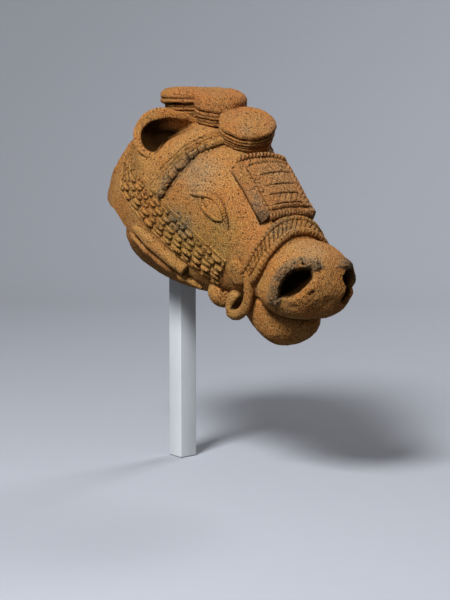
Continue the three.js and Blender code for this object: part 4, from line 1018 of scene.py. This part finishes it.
grid, out, along, angle, shrink = blunt_body(MUZZLE, 190, np.linspace(0.93, 0.04, 14), 1.6, 330)
slanted = ((MUZZLE[-1, 0] - along) / (MUZZLE[-1, 0] - MUZZLE[0, 0])) ** MUZZLE_EDGE_FADE
grid[..., 0] += MUZZLE_EDGE_DROP * slanted * np.sin(angle) ** 2
per_degree = math.radians(1) * MUZZLE_GIRTH
flat = grid_of(along, np.abs(angle) * MUZZLE_GIRTH)
within = np.where(angle < 0, inside_outline(flat, NOSTRIL_RIGHT * (1, per_degree)),
                  inside_outline(flat, NOSTRIL_LEFT * (1, per_degree)))
within = np.where(shrink < 1, -30, within)
bank = np.interp(flat[..., 0], (108, 113, 117, 124), (1.4, 1.8, 2.2, 4.0))
sink = NOSTRIL_DEPTH * np.clip((within + 0.3) / bank, 0, 1) ** 0.8
behind = np.clip((121 - flat[..., 0]) / 2, 0, 1) * np.clip(1 - (np.degrees(np.abs(angle)) - 95) / 8, 0, 1)
rim = groove(within + 3.8, 4.2) * behind * (within < 0.2)
lobe = near(flat, NOSTRIL_LOBE * (1, per_degree), 3.6) * (within < 0.5)
pit = near(flat, NOSTRIL_PIT * (1, per_degree), 1.3) * (angle < 0)
prick = np.clip(1.6 * pits(grid, 3.0, 0.8, 81), 0, 1) * rim
grid = grid + out * (2.3 * rim + 1.5 * lobe - sink - 1.2 * prick - 1.2 * pit)[..., None]
# Painted shade deep in the nostrils and where the muzzle meets the jaw; dirt and painted shade in the pricks
# and the pit; dirt on the rim.
dirt_and_shade_amount = np.clip((sink - 0.8) / 3, 0, 1) + 0.9 * prick + 0.25 * rim + 0.8 * pit + 0.9 * beside(CHIN, grid, 3)
grid = weathered(grid, hand=0.5, rough=0.18, pitted=0.35)
clay_piece("muzzle_drum", grid, clay_skin, ["muzzle"], np.clip(dirt_and_shade_amount, 0, 1),
           smoke=np.clip(2.4 * rim, 0, 1))

# Lower jaw: a smooth lump of clay pressed on under the muzzle, the mouth a plain parting line between the
# two, with dirt and painted shade along it, and painted shade behind the loop of the bit.
# Places behind the bit's loop, darkened with painted shade: along the nose, across, out
JAW_SLOT = np.array([(86, 26, -70), (87, 26, -76), (87, 25, -82)], float)
grid = blunt_body(CHIN, 130, np.linspace(0.9, 0.05, 8), 1, 220)[0]
in_slot = np.max([near(grid, JAW_SLOT * (1, side, 1), 5) for side in (-1, 1)], 0)
clay_piece("lower_jaw_lump", weathered(grid, hand=0.5, rough=0.18), clay_skin, ["lower_jaw"],
           np.maximum(0.8 * in_slot, 0.95 * beside(MUZZLE, grid, 3.5)))

# Cheek strap: five rows of oval pellets of clay, pressed on side by side and flattened on top. They run from
# the nape, below the ear, to the corner of the mouth, with dirt and deep painted shade round each, and are
# rubbed down to fine lines at the nape.
STRAP_ROWS = 5
STRAP_NAPE, STRAP_FRONT = -92, 62
PELLET_HEIGHT = 4.3
PELLETS, PELLET_SHORT, PELLET_LONG = 60, 8.8, 12.8
rng = np.random.default_rng(7)


def angle_at(along, height):
    """Angle from the crest, taken positive, of the skull's side at a height: the superellipse solved for
    the distance out."""
    middle = measure(SKULL, 3, along)
    end = np.where(height >= middle, measure(SKULL, 1, along), measure(SKULL, 2, along))
    part = np.minimum(np.abs((height - middle) / (end - middle)), 1)
    aside = measure(SKULL, 4, along) * (1 - part ** SQUARENESS) ** (1 / SQUARENESS)
    return np.arctan2(aside, height - middle)


def pellet_row(side, row):
    """One row: a path over the skull from the nape along the cheek, and across it a height field of ovals of
    uneven lengths, one less the summed powers of the place in the pellet along and across, over a bed
    darkened by dirt and painted shade. The first row carries a thin ridge above it and the last one below it."""
    along = np.linspace(STRAP_NAPE, STRAP_FRONT, 540)
    ease = smooth(np.clip((along - STRAP_NAPE) / 37, 0, 1))
    nape, cheek = -60 - 4.8 * row, -68.5 + 0.12 * along - 5.2 * row
    path, out = skin(SKULL, along, side * angle_at(along, nape + (cheek - nape) * ease))
    across = np.cross(out, unit(np.gradient(path, axis=0))) * -side
    fine = run_length(path)
    starts = np.r_[0, np.cumsum(rng.uniform(PELLET_SHORT, PELLET_LONG, PELLETS))]
    starts = starts - rng.uniform(0, PELLET_SHORT)
    k = np.searchsorted(starts, fine, "right") - 1
    x = ((fine - starts[k]) / (starts[k + 1] - starts[k]) - 0.5)[:, None]
    tall = rng.uniform(0.7, 1.1, PELLETS)[k][:, None]
    off = rng.normal(0, 0.09, PELLETS)[k][:, None]
    pressed = (rng.uniform(0, 1, PELLETS)[k] < (0.5 if row < 2 else 0.15))[:, None]
    low = -2.0 if row == STRAP_ROWS - 1 else -1.0
    high = 2.0 if row == 0 else 1.0
    v = np.linspace(low, high, 37 if high - low > 2 else 25)[None, :]
    oval = np.clip(1 - np.abs(x / 0.475) ** 3 - np.abs((v - off) / 0.70) ** 2.4, 0, 1) ** 0.45 * tall
    oval = oval - 0.5 * groove(x, 0.2) * groove(v, 0.4) * pressed
    beat = (0.8 + 0.2 * np.cos(2 * math.pi * fine / 5))[:, None]
    lines = 0.65 * np.clip(0.5 + 0.5 * np.cos(math.pi * v), 0, 1) * beat
    worn = np.clip((along + 84) / 24, 0, 1)[:, None]
    shape = worn * oval + (1 - worn) * lines
    border = 0.5 * groove(np.abs(v) - 1.5, 0.25)
    height = -1.2 + PELLET_HEIGHT * np.maximum(shape, border) * (np.abs(v) < 1.9)
    half = (2.5 + 0.2 * ease)[:, None]
    top = path[:, None] + (v * half)[..., None] * across[:, None] + height[..., None] * out[:, None]
    under = path[:, None] + (v[:, ::-8] * half)[..., None] * 0.9 * across[:, None] - 4 * out[:, None]
    # Dirt and painted shade on the bed between the pellets and between the rows.
    dirt_and_shade = np.clip(1.5 - 2.3 * shape, 0, 1) * (0.7 + 0.3 * worn) * (np.abs(v) < 1.2)
    return np.concatenate([top, under], 1), dirt_and_shade


for name, side in SIDES.items():
    for row in range(STRAP_ROWS):
        grid, dirt_and_shade = pellet_row(side, row)
        grid = weathered(grid, hand=0.4, rough=0.22, pitted=0.25)
        clay_piece(f"cheek_strap_{name}_pellets_{row + 1}", grid, clay_harness,
                   [f"cheek_strap_{name}_row_{row + 1}"], pad_shade_and_dirt(dirt_and_shade, grid))

# Throat rolls: two rolls of clay pressed on below the strap on each side, the upper one thick and smooth with
# a broken front end, the lower one thin and uneven.
THROAT_ROLLS = {  # rear and front end along the nose, height of each, radius, stand, unevenness, taper
    "upper": (-27, 34, -106.5, -96.5, 5.1, 1.8, 0.08, 0.05),
    "lower": (-30, 46, -117, -102.5, 3.5, 2.2, 0.4, 0.25)}
for name, side in SIDES.items():
    for level, (rear, front, rear_height, front_height, radius, stand, uneven, taper) in THROAT_ROLLS.items():
        t = np.linspace(0, 1, 170)
        along = rear + (front - rear) * t
        lies_at = rear_height + (front_height - rear_height) * t
        path, out = skin(SKULL, along, side * angle_at(along, lies_at), stand)
        thick = radius * (1 + uneven * lumps(grid_of(along, 0.0, radius), 6, 91)) * np.clip(0.5 + 2 * t, 0, 1)
        grid = rope(path, out, thick[:, None], 30, taper=taper)[0]
        # Painted shade on the half of each roll towards the skull, and the upper roll's broken front end
        # darkened.
        dirt_and_shade = np.clip(-np.cos(np.arange(30) * 2 * math.pi / 30), 0, 1) * np.ones((170, 1))
        dirt_and_shade = np.maximum(dirt_and_shade, np.clip((t[:, None] - 0.955) / 0.02, 0, 1) * (level == "upper"))
        clay_piece(f"throat_roll_{name}_{level}_coil", weathered(grid, hand=0.6, rough=0.2), clay_harness,
                   [f"throat_roll_{name}_{level}"], dirt_and_shade * 0.8)

# Bit: the strap's tongue, the hanging loop and the knob at the corner of the mouth, pinched from soft
# clay and pressed on. The knob has two small holes poked in it.
RING_PATH = np.array([(81.5, -33, -47), (86, -32, -53), (92, -31, -62), (95.5, -30.5, -72), (93, -29.5, -83),
                      (86, -28.5, -88), (81, -28.5, -83), (80.5, -29, -73)], float)
RING_WEB = np.array((89, -25.5, -72))
KNOB_PLACE, KNOB_RADII = np.array((62.5, -23, -93.5)), np.array((13.0, 11.0, 9.5))
KNOB_HOLES = np.array([(0.23, -0.19, 0.96), (0.29, -0.51, 0.81)])
TONGUE_ALONG, TONGUE_HEIGHT = 74.0, -57.0
TONGUE_RADII = (3.0, 10, 10.4)


def skin_frame(along, angle):
    """Place on the skull, its outward direction, and the directions across and down the nose there."""
    place, out = skin(SKULL, along, angle)
    across = unit(np.cross(out, (1, 0, 0)))
    return place, out, across, np.cross(across, out)


def ball_turns(rows, cols, edge):
    """Turns of a ball as two sides of a grid: from pole to pole, short of each by an edge, and round it."""
    from_pole = np.linspace(edge, math.pi - edge, rows)[:, None, None]
    around = (np.arange(cols) * 2 * math.pi / cols)[None, :, None]
    return from_pole, around


def smooth_route(knots, values, count):
    """Smooth curve through values by the length along their knots; gives the shares of the length and the
    values at equal steps of it."""
    at = run_length(knots)
    route = np.column_stack([at, values])
    fine = np.linspace(0, at[-1], count)
    return fine / at[-1], np.stack([measure(route, k, fine) for k in range(1, route.shape[1])], -1)


for name, side in SIDES.items():
    # The tongue: a flat round pad on the end of the strap.
    at = angle_at(np.array(TONGUE_ALONG), np.array(TONGUE_HEIGHT)) * side
    place, out, across, down = skin_frame(TONGUE_ALONG, at)
    lat, lon = ball_turns(50, 80, 0.02)
    thick, long, wide = TONGUE_RADII
    spread = long * np.cos(lon) * down + wide * np.sin(lon) * across
    pad = place + thick * np.cos(lat) * out + np.sin(lat) ** 0.5 * spread
    clay_piece(f"bit_tongue_{name}_pad", weathered(pad, hand=0.6, rough=0.2), clay_harness,
               [f"bit_tongue_{name}"])

    # The loop: a roll bent round, thicker at its free end, its middle closed by a thin web painted dark as
    # shade, with painted shade on the inner face of its lower part.
    ring = RING_PATH * (1, -side, 1)
    share, path = smooth_route(ring, ring, 130)
    thick = 3.9 + 2.1 * np.clip((share - 0.55) / 0.2, 0, 1)[:, None]
    grid = rope(path, np.broadcast_to((0.0, side, 0.0), path.shape), thick, 40, taper=0.08)[0]
    inward = RING_WEB * (1, -side, 1) - path
    face = ((grid - path[:, None]) * unit(inward)[:, None]).sum(-1) / thick
    low_part = (path[:, 2] < -60)[:, None]
    web = np.clip((face - 0.5) / 0.3, 0, 1) * low_part
    grid = grid + 0.97 * web[..., None] * inward[:, None]
    clay_piece(f"bit_ring_{name}_loop", weathered(grid, hand=0.6, rough=0.2), clay_harness,
               [f"bit_ring_{name}"], np.clip((face - 0.2) / 0.25, 0, 1) * low_part)

    # The knob: a flattened ball with its two holes.
    ball = np.concatenate([np.sin(lat) * np.cos(lon), np.sin(lat) * np.sin(lon), np.cos(lat) + 0 * lon], -1)
    holes = unit(KNOB_HOLES * (1, -side, 1))
    poke = sum(groove(np.linalg.norm(ball - hole, axis=-1), 0.13) for hole in holes)
    grid = KNOB_PLACE * (1, -side, 1) + KNOB_RADII * ball * (1 - 0.24 * np.clip(poke, 0, 1))[..., None]
    # Painted shade in the two holes.
    clay_piece(f"bit_knob_{name}_ball", weathered(grid, hand=0.7, rough=0.22), clay_harness,
               [f"bit_knob_{name}"], np.clip(poke, 0, 1))

# Eyes: a low almond of clay between two thin lids rolled and pressed on the cheek, the tail of the upper
# lid nicked for lashes.
UPPER_LID = np.array([  # along the nose, degrees from the crest
    (3, 57), (11, 53), (17, 50), (23, 49), (28, 50), (32, 52), (38, 56), (43, 60), (48, 66)], float)
LOWER_LID = np.array([(12, 55), (16, 58.5), (21, 61.5), (25, 63), (30, 64), (35, 64), (40, 62)], float)
LIDS = {  # line, radius, nicks, their bite
    "upper": (UPPER_LID, 2.3, 26, 0.5), "lower": (LOWER_LID, 1.8, 0, 0)}
EYE_ALONG, EYE_TURN = 27.0, math.radians(57)
EYE_RADII = (1.6, 13, 5.5)
for name, side in SIDES.items():
    place, out, across, down = skin_frame(EYE_ALONG, side * EYE_TURN)
    lat, lon = ball_turns(40, 90, 0.03)
    thick, long, wide = EYE_RADII
    spread = long * np.cos(lon) * down + wide * np.sin(lon) * np.abs(np.sin(lon)) ** 0.3 * across
    ball = place + thick * np.cos(lat) * out + np.sin(lat) * spread
    # Painted shade round the almond's edge.
    ring = np.broadcast_to(np.clip(1.1 - 1.9 * np.cos(lat[..., 0]), 0, 0.85), ball.shape[:2])
    clay_piece(f"eyeball_{name}_almond", weathered(ball, hand=0.25, rough=0.12), clay_skin,
               [f"eyeball_{name}"], ring)
    for lid, (line, radius, count, bite) in LIDS.items():
        turns = np.radians(line[:, 1])
        knots = skin(SKULL, line[:, 0], side * turns)[0]
        share, route = smooth_route(knots, np.column_stack([line[:, 0], turns]), 150)
        path, out = skin(SKULL, route[:, 0], side * route[:, 1], radius * 0.3)
        nicked, nick = rope(path, out, radius, 16, turns=count, slant=0.0, bite=bite, taper=0.3)
        plain = rope(path, out, radius, 16, taper=0.3)[0]
        tail = np.clip((share - 0.68) * 12, 0, 1)[:, None]
        grid = plain + (nicked - plain) * tail[..., None]
        # Painted shade along the lid's feet, and dirt with painted shade in the lash nicks.
        foot = 0.7 * np.clip(0.5 - 2 * np.cos(np.arange(16) * 2 * math.pi / 16), 0, 1) * np.ones((150, 1))
        clay_piece(f"{lid}_eyelid_{name}_roll", weathered(grid, hand=0.2, rough=0.12, pitted=0.1), clay_skin,
                   [f"{lid}_eyelid_{name}"], np.maximum(nick * tail * 0.8, foot))

# Studio: a sheet of plain pale paper that lies as the floor and curves up behind. A soft lamp stands high
# before the horse's right, a weak fill in front and another lamp high on the far side.
VIEW_AZIMUTH, VIEW_ELEVATION = math.radians(52), math.radians(8)
PAPER_HALF, PAPER_FLAT, PAPER_BEND, PAPER_TOP = 4, 0.9, 0.6, 3
FLOOR_GREY = (0.36, 0.38, 0.43, 1)
FLOOR_DIM = (0.10, 0.105, 0.115, 1)
AIR_LIGHT, AIR_SEEN = (0.056, 0.051, 0.045, 1), (0.30, 0.32, 0.36, 1)
HEAD_MIDDLE = (0.05, 0, 0.22)
LAMPS = {  # place, target, size, watts
    "key_lamp": ((0.55, -1.02, 1.34), HEAD_MIDDLE, 0.42, 42),
    "fill_lamp": ((1.6, -0.6, 0.7), (0.05, 0, 0.2), 1.2, 1.0),
    "far_side_lamp": ((-0.3, 1.45, 1.2), HEAD_MIDDLE, 0.6, 15)}


def studio_paper():
    """Pale paper: an even grey with the faintest fibre, darker to all but the camera, as in a dim room, and
    clear from behind."""
    material, tree, shader, coords = new_finish("studio_paper", 0.9)
    tone = blended(tree, noise(tree, coords, 60, 3), FLOOR_GREY, [x * 0.97 for x in FLOOR_GREY[:3]] + [1])
    seen = add_node(tree, "ShaderNodeLightPath").outputs["Is Camera Ray"]
    tree.links.new(blended(tree, seen, FLOOR_DIM, tone), shader.inputs["Base Color"])
    behind = add_node(tree, "ShaderNodeNewGeometry").outputs["Backfacing"]
    clear = add_node(tree, "ShaderNodeBsdfTransparent").outputs[0]
    either = add_node(tree, "ShaderNodeMixShader", None, {0: behind, 1: shader.outputs[0], 2: clear})
    tree.links.new(either.outputs[0], tree.nodes["Material Output"].inputs["Surface"])
    return material


bend = np.linspace(0, math.pi / 2, 16)
curve = np.stack([PAPER_FLAT + PAPER_BEND * np.sin(bend), PAPER_BEND * (1 - np.cos(bend))], -1)
sweep = np.concatenate([[(-PAPER_HALF, 0), (0, 0)], curve, [(PAPER_FLAT + PAPER_BEND, PAPER_TOP)]])
back = np.array((-math.sin(VIEW_AZIMUTH), math.cos(VIEW_AZIMUTH)))
wide = np.array((-back[1], back[0]))
u = np.linspace(-PAPER_HALF, PAPER_HALF, 3)
paper = np.zeros((len(sweep), 3, 3))
paper[..., :2] = sweep[:, :1, None] * back + u[None, :, None] * wide
paper[..., 2] = sweep[:, 1:]
cells = np.arange(len(sweep) * 3).reshape(-1, 3)
faces = np.stack([cells[:-1, :-1], cells[1:, :-1], cells[1:, 1:], cells[:-1, 1:]], -1).reshape(-1, 4)
mesh = bpy.data.meshes.new("studio_paper")
mesh.from_pydata(paper.reshape(-1, 3).tolist(), [], faces.tolist())
mesh.shade_smooth()
floor = bpy.data.objects.new("studio_paper", mesh)
bpy.context.scene.collection.objects.link(floor)
floor.data.materials.append(studio_paper())


def soft_lamp(name, place, target, size, watts):
    """Square lamp at a place, turned to look at a target."""
    light = bpy.data.lights.new(name, "AREA")
    light.size = size
    light.energy = watts
    lamp = bpy.data.objects.new(name, light)
    lamp.location = place
    lamp.rotation_euler = (Vector(target) - Vector(place)).to_track_quat("-Z", "Y").to_euler()
    bpy.context.scene.collection.objects.link(lamp)


for name, lamp in LAMPS.items():
    soft_lamp(name, *lamp)
world = bpy.data.worlds.new("studio_air")
world.use_nodes = True
air = world.node_tree.nodes["Background"]
seen = add_node(world.node_tree, "ShaderNodeLightPath").outputs["Is Camera Ray"]
world.node_tree.links.new(blended(world.node_tree, seen, AIR_LIGHT, AIR_SEEN), air.inputs["Color"])
bpy.context.scene.world = world
bpy.context.scene.view_settings.view_transform = "Standard"

# Camera: a long lens at the photograph's height and side, looking a little down at the horse's right,
# moved across and up its own picture so that the head stands where the photograph has it.
VIEW_ACROSS, VIEW_UP, VIEW_DISTANCE = 0.03485, 0.1286, 1.6
right = np.array((math.cos(VIEW_AZIMUTH), math.sin(VIEW_AZIMUTH), 0))
level_out = np.array((math.sin(VIEW_AZIMUTH), -math.cos(VIEW_AZIMUTH), 0))
toward = math.cos(VIEW_ELEVATION) * level_out + math.sin(VIEW_ELEVATION) * np.array((0, 0, 1))
upward = np.cross(toward, right)
lens = bpy.data.cameras.new("camera")
lens.sensor_width = 36
lens.lens = 115.68
camera = bpy.data.objects.new("camera", lens)
camera.location = VIEW_ACROSS * right + VIEW_UP * upward + VIEW_DISTANCE * toward
camera.rotation_euler = Vector(-toward).to_track_quat("-Z", "Y").to_euler()
bpy.context.scene.collection.objects.link(camera)
bpy.context.scene.camera = camera
